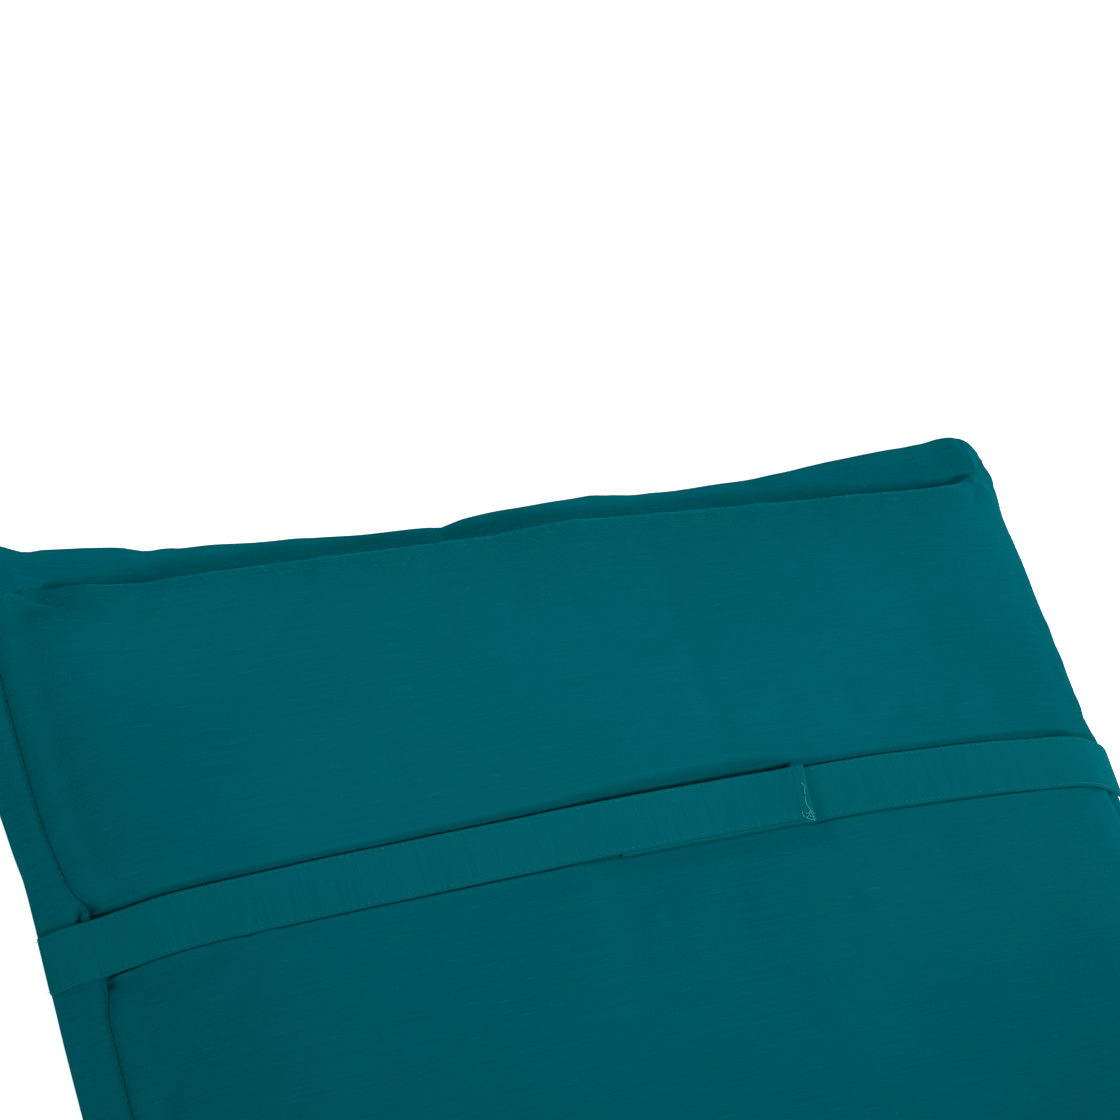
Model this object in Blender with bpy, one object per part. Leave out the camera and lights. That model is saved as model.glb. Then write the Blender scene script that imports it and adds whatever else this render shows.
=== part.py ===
"""Sun lounger cushion, lying with its back and the fixing strap upwards.

Two equal cloth panels are sewn together 20 to 30 mm inside their outer edge. What is inside the
seam is filled and crowned, what is outside it is a flat flange of two cloths. A strap in two halves
crosses the back near the head end. Metres, +Z up, head end at +Y, origin under the middle.
"""

import math
from collections import namedtuple

import bmesh
import bpy

MM = 0.001

# Driving dimensions, in millimetres
WIDTH = 600.0
LENGTH = 2000.0
SIDE_FLANGE = 20.0
HEAD_FLANGE = 28.0
CLOTH_PAIR = 2.4
CROWN_HEIGHT = 73.0
SEAM_HEIGHT = 22.0
CORNER_REACH = 60.0
CORNER_ROUNDNESS = 4.5
CORNER_FULLNESS = 3.0
STRAP_FROM_HEAD = 189.0
STRAP_WIDTH = 30.0
STRAP_THICKNESS = 2.0
STRAP_BAND = 36.0
BAND_FADE = 26.0
LEFT_STRAP_END = 74.0
RIGHT_STRAP_END = -32.0
PIECE_GAP = 0.3

HALF_WIDTH = WIDTH / 2
HALF_LENGTH = LENGTH / 2
BODY_HALF_WIDTH = HALF_WIDTH - SIDE_FLANGE
BODY_LENGTH = LENGTH - 2 * HEAD_FLANGE
BAND_MIDDLE = STRAP_FROM_HEAD + STRAP_WIDTH / 2

# Where the mesh has points: share of the flange's width, then millimetres inside the seam
FLANGE_SHARES = (0.0, 0.4, 0.8)
ROLL_INSETS = (0.0, 1.5, 4.0, 8.0, 13.0, 20.0, 30.0, 44.0, 62.0, 82.0, 104.0)
COLUMN_PITCH = 22.0
BAND_ROWS = (-26.0, -14.0, -3.0, 0.0, 15.0, 30.0, 33.0, 44.0, 56.0)
LONG_ROW_PITCH = 128.0

# How full the padding is at each distance inside the seam, from 0 at the seam to 1 at the crown
Rise = namedtuple("Rise", "inset left right end under")
RISES = (
    Rise(0.0, 0.000, 0.000, 0.00, 0.00),
    Rise(1.5, 0.110, 0.100, 0.22, 0.18),
    Rise(4.0, 0.180, 0.170, 0.38, 0.34),
    Rise(8.0, 0.185, 0.225, 0.47, 0.50),
    Rise(13.0, 0.250, 0.285, 0.54, 0.64),
    Rise(20.0, 0.330, 0.360, 0.61, 0.78),
    Rise(30.0, 0.410, 0.460, 0.69, 0.90),
    Rise(44.0, 0.490, 0.560, 0.77, 0.97),
    Rise(62.0, 0.570, 0.657, 0.84, 1.00),
    Rise(104.0, 0.680, 0.795, 0.94, 1.00),
    Rise(148.0, 0.775, 0.880, 1.00, 1.00),
    Rise(192.0, 0.880, 0.940, 1.00, 1.00),
    Rise(236.0, 0.960, 0.990, 1.00, 1.00),
    Rise(280.0, 1.000, 1.000, 1.00, 1.00),
)

# The long sides at distances from the head: how far edge and seam stand out, and the edge's height
Side = namedtuple("Side", "along edge seam height")
LEFT_SIDE = (
    Side(0.0, 8.0, 12.0, 9.0),
    Side(60.0, 8.0, 13.0, 8.0),
    Side(130.0, 4.0, 11.0, 6.5),
    Side(172.0, 0.0, 5.0, 5.0),
    Side(185.0, 0.0, -1.0, 5.0),
    Side(222.0, 0.0, -1.0, 5.0),
    Side(238.0, 0.0, 2.0, 5.0),
    Side(300.0, -1.0, 2.0, 5.0),
    Side(450.0, -3.0, 0.0, 4.0),
    Side(650.0, -6.0, -3.0, 5.5),
    Side(900.0, -4.0, -2.0, 4.0),
    Side(1150.0, -7.0, -4.0, 5.0),
    Side(1400.0, -5.0, -3.0, 4.0),
    Side(1650.0, -3.0, -1.0, 6.0),
    Side(1850.0, 0.0, 1.0, 4.0),
    Side(1940.0, 4.0, 5.0, 6.0),
    Side(2000.0, 4.0, 4.0, 9.0),
)
RIGHT_SIDE = (
    Side(0.0, -4.0, -4.0, 6.0),
    Side(30.0, -7.0, -3.0, 4.0),
    Side(80.0, -5.0, 0.0, 3.0),
    Side(168.0, -4.0, 1.5, 3.0),
    Side(185.0, 0.0, 1.0, 3.5),
    Side(222.0, 0.0, 1.0, 3.5),
    Side(300.0, 0.0, 1.0, 4.0),
    Side(480.0, -4.0, -1.0, 5.0),
    Side(700.0, -6.0, -4.0, 4.0),
    Side(950.0, -5.0, -2.0, 5.0),
    Side(1200.0, -7.0, -4.0, 4.0),
    Side(1450.0, -3.0, -2.0, 6.0),
    Side(1700.0, -3.0, 0.0, 4.0),
    Side(1940.0, 8.0, 6.0, 6.0),
    Side(2000.0, 8.0, 6.0, 9.0),
)

# The short ends at distances across: how far edge and seam stand out, and the edge's height
End = namedtuple("End", "across edge seam height")
HEAD_END = (
    End(-300.0, 5.0, 3.0, 14.0),
    End(-279.0, 5.0, 3.0, 13.0),
    End(-258.0, 3.0, 1.5, 10.0),
    End(-214.0, 1.0, -1.5, 4.0),
    End(-170.0, -3.0, 1.0, 3.5),
    End(-137.0, -5.0, 1.5, 3.0),
    End(-79.0, -8.0, -1.0, 3.0),
    End(-36.0, -10.0, -2.0, 3.0),
    End(9.0, -4.0, 2.0, 4.5),
    End(55.0, -2.0, 1.0, 4.0),
    End(131.0, -4.5, -2.0, 3.5),
    End(201.0, 0.0, -5.0, 7.0),
    End(261.0, 2.0, -5.0, 10.0),
    End(279.0, 3.0, -1.0, 10.0),
    End(300.0, 2.0, 0.0, 6.0),
)
FOOT_END = (
    End(-300.0, 3.2, 2.0, 10.0),
    End(-240.0, 2.4, 2.0, 6.0),
    End(-160.0, -3.0, -1.0, 4.0),
    End(-70.0, -7.0, -3.0, 6.0),
    End(10.0, -5.0, -1.0, 4.0),
    End(100.0, -8.0, -3.0, 6.0),
    End(190.0, -2.0, 0.0, 4.0),
    End(250.0, 2.0, 2.0, 7.0),
    End(300.0, 3.2, 2.0, 10.0),
)

# The top of the padding under the strap, which presses it flat across the strap's width
Band = namedtuple("Band", "across height")
BAND_LINE = (
    Band(-280.0, 22.0),
    Band(-272.0, 25.5),
    Band(-262.0, 32.5),
    Band(-250.0, 38.0),
    Band(-226.0, 44.5),
    Band(-200.0, 49.5),
    Band(-160.0, 55.0),
    Band(-121.0, 58.5),
    Band(-86.0, 62.0),
    Band(-40.0, 65.5),
    Band(10.0, 67.0),
    Band(60.0, 67.5),
    Band(105.0, 66.5),
    Band(148.0, 62.5),
    Band(197.0, 55.0),
    Band(222.0, 49.5),
    Band(248.0, 42.0),
    Band(262.0, 36.0),
    Band(272.0, 29.5),
    Band(280.0, 22.0),
)

TEAL = (0.0, 0.107, 0.130, 1.0)
STRAP_TEAL = (0.0, 0.112, 0.136, 1.0)


def read_table(rows, place, key, value):
    """Value at a place in a table, on a smooth curve through its rows."""
    if place <= getattr(rows[0], key):
        return getattr(rows[0], value)
    for index in range(len(rows) - 1):
        low = rows[index]
        high = rows[index + 1]
        if place <= getattr(high, key):
            before = rows[max(index - 1, 0)]
            after = rows[min(index + 2, len(rows) - 1)]
            step = getattr(high, key) - getattr(low, key)
            share = (place - getattr(low, key)) / step
            rise = getattr(high, value) - getattr(low, value)
            slope_low = slope_between(before, low, high, key, value) * step
            slope_high = slope_between(low, high, after, key, value) * step
            bend = share * (1 - share)
            ease = share * share * (3 - 2 * share)
            return (getattr(low, value) + rise * ease
                    + bend * (1 - share) * slope_low - bend * share * slope_high)
    return getattr(rows[-1], value)


def slope_between(before, row, after, key, value):
    """Slope at a table's row; flat where the curve turns, so that it never overshoots."""
    behind = getattr(row, key) - getattr(before, key)
    ahead = getattr(after, key) - getattr(row, key)
    if behind <= 0 or ahead <= 0:
        return 0.0
    slope_behind = (getattr(row, value) - getattr(before, value)) / behind
    slope_ahead = (getattr(after, value) - getattr(row, value)) / ahead
    if slope_behind * slope_ahead <= 0:
        return 0.0
    return 2 * slope_behind * slope_ahead / (slope_behind + slope_ahead)


def fade(distance, start, end):
    """1 up to start, 0 from end on, smooth between."""
    share = min(max((distance - start) / (end - start), 0.0), 1.0)
    return 1 - share * share * (3 - 2 * share)


def edge_stations(flange, body_length, middle_rows):
    """Places from one outer edge to the other, as (place, share of near flange, of far flange)."""
    near = [(share * flange, share, 1.0) for share in FLANGE_SHARES]
    total = body_length + 2 * flange
    far = [(total - place, 1.0, share) for place, share, _ in reversed(near)]
    near_roll = [flange + inset for inset in ROLL_INSETS]
    far_roll = [total - place for place in reversed(near_roll)]
    body = near_roll + [row for row in middle_rows if near_roll[-1] < row < far_roll[0]] + far_roll
    return near + [(place, 1.0, 1.0) for place in body] + far


def column_places():
    """Stations across, from the left edge."""
    count = round((2 * BODY_HALF_WIDTH - 2 * ROLL_INSETS[-1]) / COLUMN_PITCH)
    start = SIDE_FLANGE + ROLL_INSETS[-1]
    pitch = (WIDTH - 2 * start) / count
    return edge_stations(SIDE_FLANGE, 2 * BODY_HALF_WIDTH, [start + pitch * k for k in range(1, count)])


def row_places():
    """Stations along, from the head edge, with rows at the strap's edges."""
    middle = [STRAP_FROM_HEAD + offset for offset in BAND_ROWS]
    start = middle[-1]
    stop = LENGTH - HEAD_FLANGE - ROLL_INSETS[-1]
    count = round((stop - start) / LONG_ROW_PITCH)
    middle += [start + (stop - start) * k / count for k in range(1, count)]
    return edge_stations(HEAD_FLANGE, BODY_LENGTH, middle)


def joined(p, q):
    """Fullness where two edges meet: exact along either edge, rounded in the corner."""
    if p <= 0 or q <= 0:
        return 0.0
    return (p ** -CORNER_FULLNESS + q ** -CORNER_FULLNESS - 1) ** (-1 / CORNER_FULLNESS)


def plan_place(column, row):
    """Place across and along of one grid point, with the uneven edges and rounded corners."""
    across, left_share, right_share = column
    along, head_share, foot_share = row
    x = across - HALF_WIDTH
    y = along
    inset_left = max(across - SIDE_FLANGE, 0.0)
    inset_right = max(WIDTH - across - SIDE_FLANGE, 0.0)
    inset_head = max(along - HEAD_FLANGE, 0.0)
    inset_foot = max(LENGTH - along - HEAD_FLANGE, 0.0)
    reach = ROLL_INSETS[-1]
    for rows, share, inset, sign in ((LEFT_SIDE, left_share, inset_left, -1),
                                     (RIGHT_SIDE, right_share, inset_right, 1)):
        edge = read_table(rows, along, "along", "edge")
        seam = read_table(rows, along, "along", "seam")
        x += sign * (edge + (seam - edge) * share) * fade(inset, 0.0, reach)
    nominal = across - HALF_WIDTH
    for rows, share, inset, sign in ((HEAD_END, head_share, inset_head, -1),
                                     (FOOT_END, foot_share, inset_foot, 1)):
        edge = read_table(rows, nominal, "across", "edge")
        seam = read_table(rows, nominal, "across", "seam")
        y += sign * (edge + (seam - edge) * share) * fade(inset, 0.0, reach)
    return round_corner(x, y)


def round_corner(x, y):
    """Pull a point near a corner inwards, so that the square outline turns on a curve."""
    over_x = abs(x) - (HALF_WIDTH - CORNER_REACH)
    from_middle = y - HALF_LENGTH
    over_y = abs(from_middle) - (HALF_LENGTH - CORNER_REACH)
    if over_x <= 0 or over_y <= 0:
        return x, y
    longest = max(over_x, over_y)
    share_x = over_x / longest
    share_y = over_y / longest
    pull = (share_x ** CORNER_ROUNDNESS + share_y ** CORNER_ROUNDNESS) ** (-1 / CORNER_ROUNDNESS)
    new_x = HALF_WIDTH - CORNER_REACH + over_x * pull
    new_y = HALF_LENGTH - CORNER_REACH + over_y * pull
    return math.copysign(new_x, x), HALF_LENGTH + math.copysign(new_y, from_middle)


def flange_drop(column, row):
    """How far the flange hangs below the seam at a grid point."""
    across, left_share, right_share = column
    along, head_share, foot_share = row
    nominal = across - HALF_WIDTH
    pairs = (
        (1 - left_share, read_table(LEFT_SIDE, along, "along", "height")),
        (1 - right_share, read_table(RIGHT_SIDE, along, "along", "height")),
        (1 - head_share, read_table(HEAD_END, nominal, "across", "height")),
        (1 - foot_share, read_table(FOOT_END, nominal, "across", "height")),
    )
    total = sum(weight for weight, _ in pairs)
    if total <= 0:
        return 0.0
    drops = [weight * math.sin(weight * math.pi / 2) * (SEAM_HEIGHT - height)
             for weight, height in pairs]
    return sum(drops) / total


def fullness(column, row, left_name, right_name, end_name):
    """Rise of the padding at a grid point, 0 at the seam and 1 at the crown."""
    across = column[0]
    along = row[0]
    side_name = left_name if across < HALF_WIDTH else right_name
    inset_side = min(across, WIDTH - across) - SIDE_FLANGE
    inset_end = min(along, LENGTH - along) - HEAD_FLANGE
    if inset_side <= 0 or inset_end <= 0:
        return 0.0
    return joined(read_table(RISES, inset_side, "inset", side_name),
                  read_table(RISES, inset_end, "inset", end_name))


def top_height(column, row):
    """Height of the upper face at a grid point."""
    if min(column[1], column[2], row[1], row[2]) < 1:
        return SEAM_HEIGHT - flange_drop(column, row)
    free = SEAM_HEIGHT + (CROWN_HEIGHT - SEAM_HEIGHT) * fullness(column, row, "left", "right", "end")
    pressed = band_height(column[0] - HALF_WIDTH)
    share = fade(abs(row[0] - BAND_MIDDLE), STRAP_BAND / 2, STRAP_BAND / 2 + BAND_FADE)
    return free + (pressed - free) * share


def band_height(nominal):
    """Height of the padding under the strap."""
    return read_table(BAND_LINE, nominal, "across", "height")


def under_height(column, row):
    """Height of the lower face at a grid point; 0 where the cushion rests."""
    if min(column[1], column[2], row[1], row[2]) < 1:
        return top_height(column, row) - CLOTH_PAIR
    full = fullness(column, row, "under", "under", "under")
    return max((SEAM_HEIGHT - CLOTH_PAIR) * (1 - full), 0.0)


def to_point(x, along, height):
    """Metres in the part's frame from millimetres across, from the head edge, and up."""
    return x * MM, (HALF_LENGTH - along) * MM, height * MM


def add_object(name, mesh, collection, color):
    """Object with its own woven polyester material."""
    material = bpy.data.materials.new(name + "_cloth")
    material.use_nodes = True
    shader = material.node_tree.nodes["Principled BSDF"]
    shader.inputs["Base Color"].default_value = color
    shader.inputs["Roughness"].default_value = 0.85
    shader.inputs["Metallic"].default_value = 0.0
    mesh.materials.append(material)
    mesh.shade_smooth()
    mesh.set_sharp_from_angle(angle=math.radians(50))
    part = bpy.data.objects.new(name, mesh)
    collection.objects.link(part)
    return part


def build_cushion(collection):
    """The filled body with its flange: a grid, thickened downwards and shaped by the tables."""
    columns = column_places()
    rows = row_places()
    width_cells = len(columns) - 1
    length_cells = len(rows) - 1
    bm = bmesh.new()
    bmesh.ops.create_grid(bm, x_segments=width_cells, y_segments=length_cells, size=0.5)
    upper = bm.faces[:]
    lower = bmesh.ops.extrude_face_region(bm, geom=upper, use_keep_orig=True)["geom"]
    lower_points = {item for item in lower if isinstance(item, bmesh.types.BMVert)}
    for point in bm.verts:
        column = columns[round((point.co.x + 0.5) * width_cells)]
        row = rows[length_cells - round((point.co.y + 0.5) * length_cells)]
        x, along = plan_place(column, row)
        height = under_height(column, row) if point in lower_points else top_height(column, row)
        point.co = to_point(x, along, height)
    bmesh.ops.recalc_face_normals(bm, faces=bm.faces)
    mesh = bpy.data.meshes.new("cushion")
    bm.to_mesh(mesh)
    bm.free()
    return add_object("cushion", mesh, collection, TEAL)


def surface_line():
    """The upper face along the strap's middle: places across and heights, edge to edge."""
    row = (BAND_MIDDLE, 1.0, 1.0)
    points = []
    for column in column_places():
        x, _ = plan_place(column, row)
        points.append((x, top_height(column, row)))
    return points


def lifted(points, rise):
    """A line moved away from the surface it lies on, square to it."""
    moved = []
    for index, (x, z) in enumerate(points):
        x0, z0 = points[max(index - 1, 0)]
        x1, z1 = points[min(index + 1, len(points) - 1)]
        length = math.hypot(x1 - x0, z1 - z0)
        moved.append((x - (z1 - z0) / length * rise, z + (x1 - x0) / length * rise))
    return moved


def cut_line(points, start, stop):
    """The stretch of a line between two places across, with points on both ends."""
    inside = [point for point in points if start < point[0] < stop]
    return [place_on(points, start)] + inside + [place_on(points, stop)]


def place_on(points, x):
    """Point of a line at a place across, or its nearest end."""
    for (x0, z0), (x1, z1) in zip(points, points[1:]):
        if x0 <= x <= x1:
            return x, z0 + (z1 - z0) * (x - x0) / (x1 - x0)
    return points[0] if x < points[0][0] else points[-1]


def build_strap(name, line, collection):
    """A flat strap along a line: its section is lofted from station to station."""
    upper = lifted(line, STRAP_THICKNESS)
    near = STRAP_FROM_HEAD
    far = STRAP_FROM_HEAD + STRAP_WIDTH
    bm = bmesh.new()
    rings = []
    for (x0, z0), (x1, z1) in zip(line, upper):
        corners = ((x0, near, z0), (x1, near, z1), (x1, far, z1), (x0, far, z0))
        rings.append([bm.verts.new(to_point(*corner)) for corner in corners])
    for ring, following in zip(rings, rings[1:]):
        for side in range(4):
            other = (side + 1) % 4
            bm.faces.new((ring[side], ring[other], following[other], following[side]))
    bm.faces.new(rings[0])
    bm.faces.new(list(reversed(rings[-1])))
    bmesh.ops.recalc_face_normals(bm, faces=bm.faces)
    mesh = bpy.data.meshes.new(name)
    bm.to_mesh(mesh)
    bm.free()
    return add_object(name, mesh, collection, STRAP_TEAL)


def taut(points):
    """The line as a pulled strap takes it: straight over each hollow."""
    kept = []
    for point in points:
        while len(kept) > 1 and is_hollow(kept[-2], kept[-1], point):
            kept.pop()
        kept.append(point)
    return kept


def is_hollow(before, middle, after):
    """Whether the middle point lies on or under the chord of its neighbours."""
    return ((middle[0] - before[0]) * (after[1] - before[1])
            >= (middle[1] - before[1]) * (after[0] - before[0]))


def strap_lines():
    """Undersides of the two straps: the right one on the cushion, the left one over its end."""
    surface = surface_line()
    resting = taut(lifted(surface, PIECE_GAP))
    right = cut_line(resting, RIGHT_STRAP_END, resting[-1][0])
    over_right = lifted(right, STRAP_THICKNESS + PIECE_GAP)
    first = RIGHT_STRAP_END - 8.0
    left = cut_line(resting, resting[0][0], first)
    left += cut_line(over_right, over_right[0][0], LEFT_STRAP_END)
    return taut(left), right


def main():
    """Build the cushion and its two straps."""
    for old in list(bpy.data.objects):
        bpy.data.objects.remove(old, do_unlink=True)
    collection = bpy.data.collections.new("sun_lounger_cushion")
    bpy.context.scene.collection.children.link(collection)
    build_cushion(collection)
    left, right = strap_lines()
    build_strap("strap_left", left, collection)
    build_strap("strap_right", right, collection)


main()
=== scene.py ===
"""Sun lounger cushion, seen from its back with the fixing strap: cloth, padding, sewing and stage.

The head end and the strap follow the photograph, the rest of the length is finished plainly.
Tables and the shapes worked out from them are in millimetres, measured across from the middle and
along from the head edge; the meshes are in metres, in the frame of the packed model.
"""

import math
from collections import namedtuple

import bpy
import numpy as np
from mathutils import Matrix, Vector, noise


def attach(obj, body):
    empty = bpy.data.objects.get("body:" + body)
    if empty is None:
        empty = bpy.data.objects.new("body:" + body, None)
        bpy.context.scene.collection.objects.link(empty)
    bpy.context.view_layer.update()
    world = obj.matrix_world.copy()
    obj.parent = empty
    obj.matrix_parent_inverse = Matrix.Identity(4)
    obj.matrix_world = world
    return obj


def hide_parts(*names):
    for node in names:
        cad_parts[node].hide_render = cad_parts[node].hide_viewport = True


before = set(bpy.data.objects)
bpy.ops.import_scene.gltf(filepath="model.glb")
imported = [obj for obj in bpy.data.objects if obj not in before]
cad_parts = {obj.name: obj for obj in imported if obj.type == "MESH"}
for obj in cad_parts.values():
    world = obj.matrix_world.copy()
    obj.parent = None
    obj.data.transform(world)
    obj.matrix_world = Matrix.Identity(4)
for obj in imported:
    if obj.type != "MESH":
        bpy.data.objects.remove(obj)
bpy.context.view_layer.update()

bl_info = {
    "name": "Sun lounger cushion",
    "version": (1, 0, 0),
    "blender": (4, 5, 0),
    "location": "3D View > Sidebar > Cushion",
    "description": "Builds a padded lounger cushion with a sewn flange and a fixing strap",
    "category": "Object",
}

MM = 0.001
BODY = "root"
UV_NAME = "cloth_uv"
UP_NAME = "face_up"
# Point attribute for where the fine wrinkles by the ends' seams are bumped and get a painted highlight in
# the cloth's colour
WRINKLE_HIGHLIGHT_NAME = "seam_pull"

# How full the padding is at each distance inside the seam, from 0 at the seam to 1 at the crown
Rise = namedtuple("Rise", "inset left right end under")
RISES = (
    Rise(0.0, 0.000, 0.000, 0.00, 0.00),
    Rise(1.5, 0.075, 0.100, 0.24, 0.18),
    Rise(3.2, 0.122, 0.155, 0.37, 0.30),
    Rise(5.5, 0.154, 0.190, 0.44, 0.40),
    Rise(8.5, 0.158, 0.230, 0.48, 0.52),
    Rise(11.5, 0.166, 0.270, 0.52, 0.60),
    Rise(15.0, 0.205, 0.305, 0.56, 0.68),
    Rise(20.0, 0.288, 0.360, 0.61, 0.78),
    Rise(30.0, 0.400, 0.460, 0.69, 0.90),
    Rise(44.0, 0.490, 0.560, 0.77, 0.97),
    Rise(62.0, 0.570, 0.657, 0.84, 1.00),
    Rise(104.0, 0.680, 0.795, 0.94, 1.00),
    Rise(148.0, 0.775, 0.880, 1.00, 1.00),
    Rise(192.0, 0.880, 0.940, 1.00, 1.00),
    Rise(236.0, 0.960, 0.990, 1.00, 1.00),
    Rise(280.0, 1.000, 1.000, 1.00, 1.00),
)

# The long sides at distances from the head: how far edge and seam stand out, and the edge's height
Side = namedtuple("Side", "along edge seam height")
LEFT_SIDE = (
    Side(0.0, 8.0, 12.0, 9.0),
    Side(60.0, 8.0, 13.0, 8.0),
    Side(130.0, 4.0, 11.0, 6.5),
    Side(172.0, 0.0, 5.0, 5.0),
    Side(185.0, 0.0, -1.0, 5.0),
    Side(222.0, 0.0, -1.0, 5.0),
    Side(238.0, 0.0, 2.0, 5.0),
    Side(300.0, -1.0, 2.0, 5.0),
    Side(450.0, -3.0, 0.0, 4.0),
    Side(650.0, -6.0, -3.0, 5.5),
    Side(900.0, -4.0, -2.0, 4.0),
    Side(1150.0, -7.0, -4.0, 5.0),
    Side(1400.0, -5.0, -3.0, 4.0),
    Side(1650.0, -3.0, -1.0, 6.0),
    Side(1850.0, 0.0, 1.0, 4.0),
    Side(1940.0, 4.0, 5.0, 6.0),
    Side(2000.0, 4.0, 4.0, 9.0),
)
RIGHT_SIDE = (
    Side(0.0, -4.4, -4.0, 6.0),
    Side(2.8, -2.6, -4.0, 6.2),
    Side(5.6, -2.0, -4.0, 6.3),
    Side(9.0, -3.7, -4.0, 6.4),
    Side(13.0, -5.0, -3.9, 6.2),
    Side(20.0, -5.7, -3.6, 5.5),
    Side(30.0, -5.3, -3.4, 4.0),
    Side(50.0, -7.6, -3.3, 3.0),
    Side(80.0, -6.2, -1.2, 3.0),
    Side(168.0, -4.0, 1.5, 3.0),
    Side(185.0, 0.0, 1.0, 3.5),
    Side(222.0, 0.0, 1.0, 3.5),
    Side(300.0, 0.0, 1.0, 4.0),
    Side(480.0, -4.0, -1.0, 5.0),
    Side(700.0, -6.0, -4.0, 4.0),
    Side(950.0, -5.0, -2.0, 5.0),
    Side(1200.0, -7.0, -4.0, 4.0),
    Side(1450.0, -3.0, -2.0, 6.0),
    Side(1700.0, -3.0, 0.0, 4.0),
    Side(1940.0, 8.0, 6.0, 6.0),
    Side(2000.0, 8.0, 6.0, 9.0),
)

# The short ends at distances across: how far edge and seam stand out, and the edge's height
End = namedtuple("End", "across edge seam height")
HEAD_END = (
    End(-300.0, 11.0, 9.0, 14.0),
    End(-279.0, 10.5, 11.0, 13.0),
    End(-265.0, 7.6, 9.4, 11.4),
    End(-258.0, 4.4, 7.4, 10.2),
    End(-252.0, 2.4, 5.0, 9.4),
    End(-245.0, 3.2, 2.8, 8.4),
    End(-232.0, 2.5, -0.9, 6.5),
    End(-213.5, 1.0, -2.6, 4.0),
    End(-197.0, -2.5, -2.3, 3.7),
    End(-190.0, -2.1, -2.0, 3.6),
    End(-182.0, -3.0, -1.7, 3.5),
    End(-170.0, -3.1, -1.4, 3.5),
    End(-137.0, -5.0, -1.6, 3.0),
    End(-79.0, -8.0, -1.8, 3.0),
    End(-62.0, -9.4, -1.7, 3.0),
    End(-47.5, -10.4, -1.6, 3.0),
    End(-43.0, -9.6, -1.6, 3.0),
    End(-36.0, -7.8, -1.6, 3.0),
    End(-29.0, -6.2, -1.2, 3.2),
    End(-18.0, -5.0, -0.4, 3.6),
    End(-7.0, -4.2, 0.5, 4.0),
    End(9.0, -3.7, 1.6, 4.5),
    End(45.0, -2.3, -0.2, 4.1),
    End(55.0, -4.0, -0.6, 4.0),
    End(72.0, -5.2, -1.2, 3.8),
    End(84.0, -4.8, -1.6, 3.7),
    End(107.0, -4.9, -2.4, 3.5),
    End(131.0, -4.5, -3.2, 3.5),
    End(164.0, -3.3, -4.3, 4.9),
    End(201.0, 0.0, -5.4, 7.0),
    End(232.0, 1.0, -6.2, 8.4),
    End(256.0, 2.0, -3.4, 9.0),
    End(269.0, 3.6, 2.4, 10.0),
    End(282.0, 3.4, 6.0, 8.6),
    End(300.0, 1.0, 1.0, 6.0),
)
FOOT_END = (
    End(-300.0, 3.2, 2.0, 10.0),
    End(-240.0, 2.4, 2.0, 6.0),
    End(-160.0, -3.0, -1.0, 4.0),
    End(-70.0, -7.0, -3.0, 6.0),
    End(10.0, -5.0, -1.0, 4.0),
    End(100.0, -8.0, -3.0, 6.0),
    End(190.0, -2.0, 0.0, 4.0),
    End(250.0, 2.0, 2.0, 7.0),
    End(300.0, 3.2, 2.0, 10.0),
)

# The top of the padding under the strap, which presses it flat across the strap's width
Band = namedtuple("Band", "across height")
BAND_LINE = (
    Band(-280.0, 22.0),
    Band(-272.0, 22.5),
    Band(-262.0, 30.5),
    Band(-250.0, 38.0),
    Band(-226.0, 44.5),
    Band(-200.0, 49.5),
    Band(-160.0, 55.0),
    Band(-121.0, 58.5),
    Band(-86.0, 62.0),
    Band(-40.0, 65.5),
    Band(10.0, 67.0),
    Band(60.0, 67.5),
    Band(105.0, 66.5),
    Band(148.0, 62.5),
    Band(197.0, 55.0),
    Band(222.0, 49.5),
    Band(248.0, 42.0),
    Band(262.0, 36.0),
    Band(272.0, 29.5),
    Band(280.0, 22.0),
)

# Beside the strap: the gap the padding leaves at its head edge, and how proud its foot edge stands
Gap = namedtuple("Gap", "across gap proud")
STRAP_GAPS = (
    Gap(-300.0, 1.4, 0.0),
    Gap(-240.0, 2.0, 0.0),
    Gap(-120.0, 2.4, 0.0),
    Gap(-66.0, 2.8, 0.2),
    Gap(-38.0, 4.6, 0.8),
    Gap(10.0, 5.8, 1.0),
    Gap(50.0, 6.4, 1.0),
    Gap(64.0, 5.6, 1.0),
    Gap(82.0, 2.8, 0.5),
    Gap(130.0, 2.2, 0.4),
    Gap(240.0, 2.4, 0.2),
    Gap(268.0, 1.2, 0.0),
    Gap(300.0, 0.6, 0.0),
)

# Hollows beside the strap, by their depth, and firm places of the padding, by their height
Mound = namedtuple("Mound", "across along height wide long")
PITS = (
    Mound(-278.4, 184.8, 8.5, 4.8, 3.8),
    Mound(-276.5, 219.4, 5.5, 3.2, 3.4),
    Mound(-289.5, 186.5, 1.8, 6.5, 2.2),
    Mound(-289.5, 218.1, 1.2, 3.0, 1.6),
    Mound(246.0, 187.2, 1.4, 7.0, 1.8),
    Mound(262.0, 219.4, 1.6, 8.0, 2.0),
    Mound(76.4, 204.0, 3.4, 5.6, 24.0),
)
BUMPS = (
    Mound(-266.0, 52.0, 2.5, 20.0, 24.0),
    Mound(-215.0, 40.0, 0.8, 30.0, 26.0),
)

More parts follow.
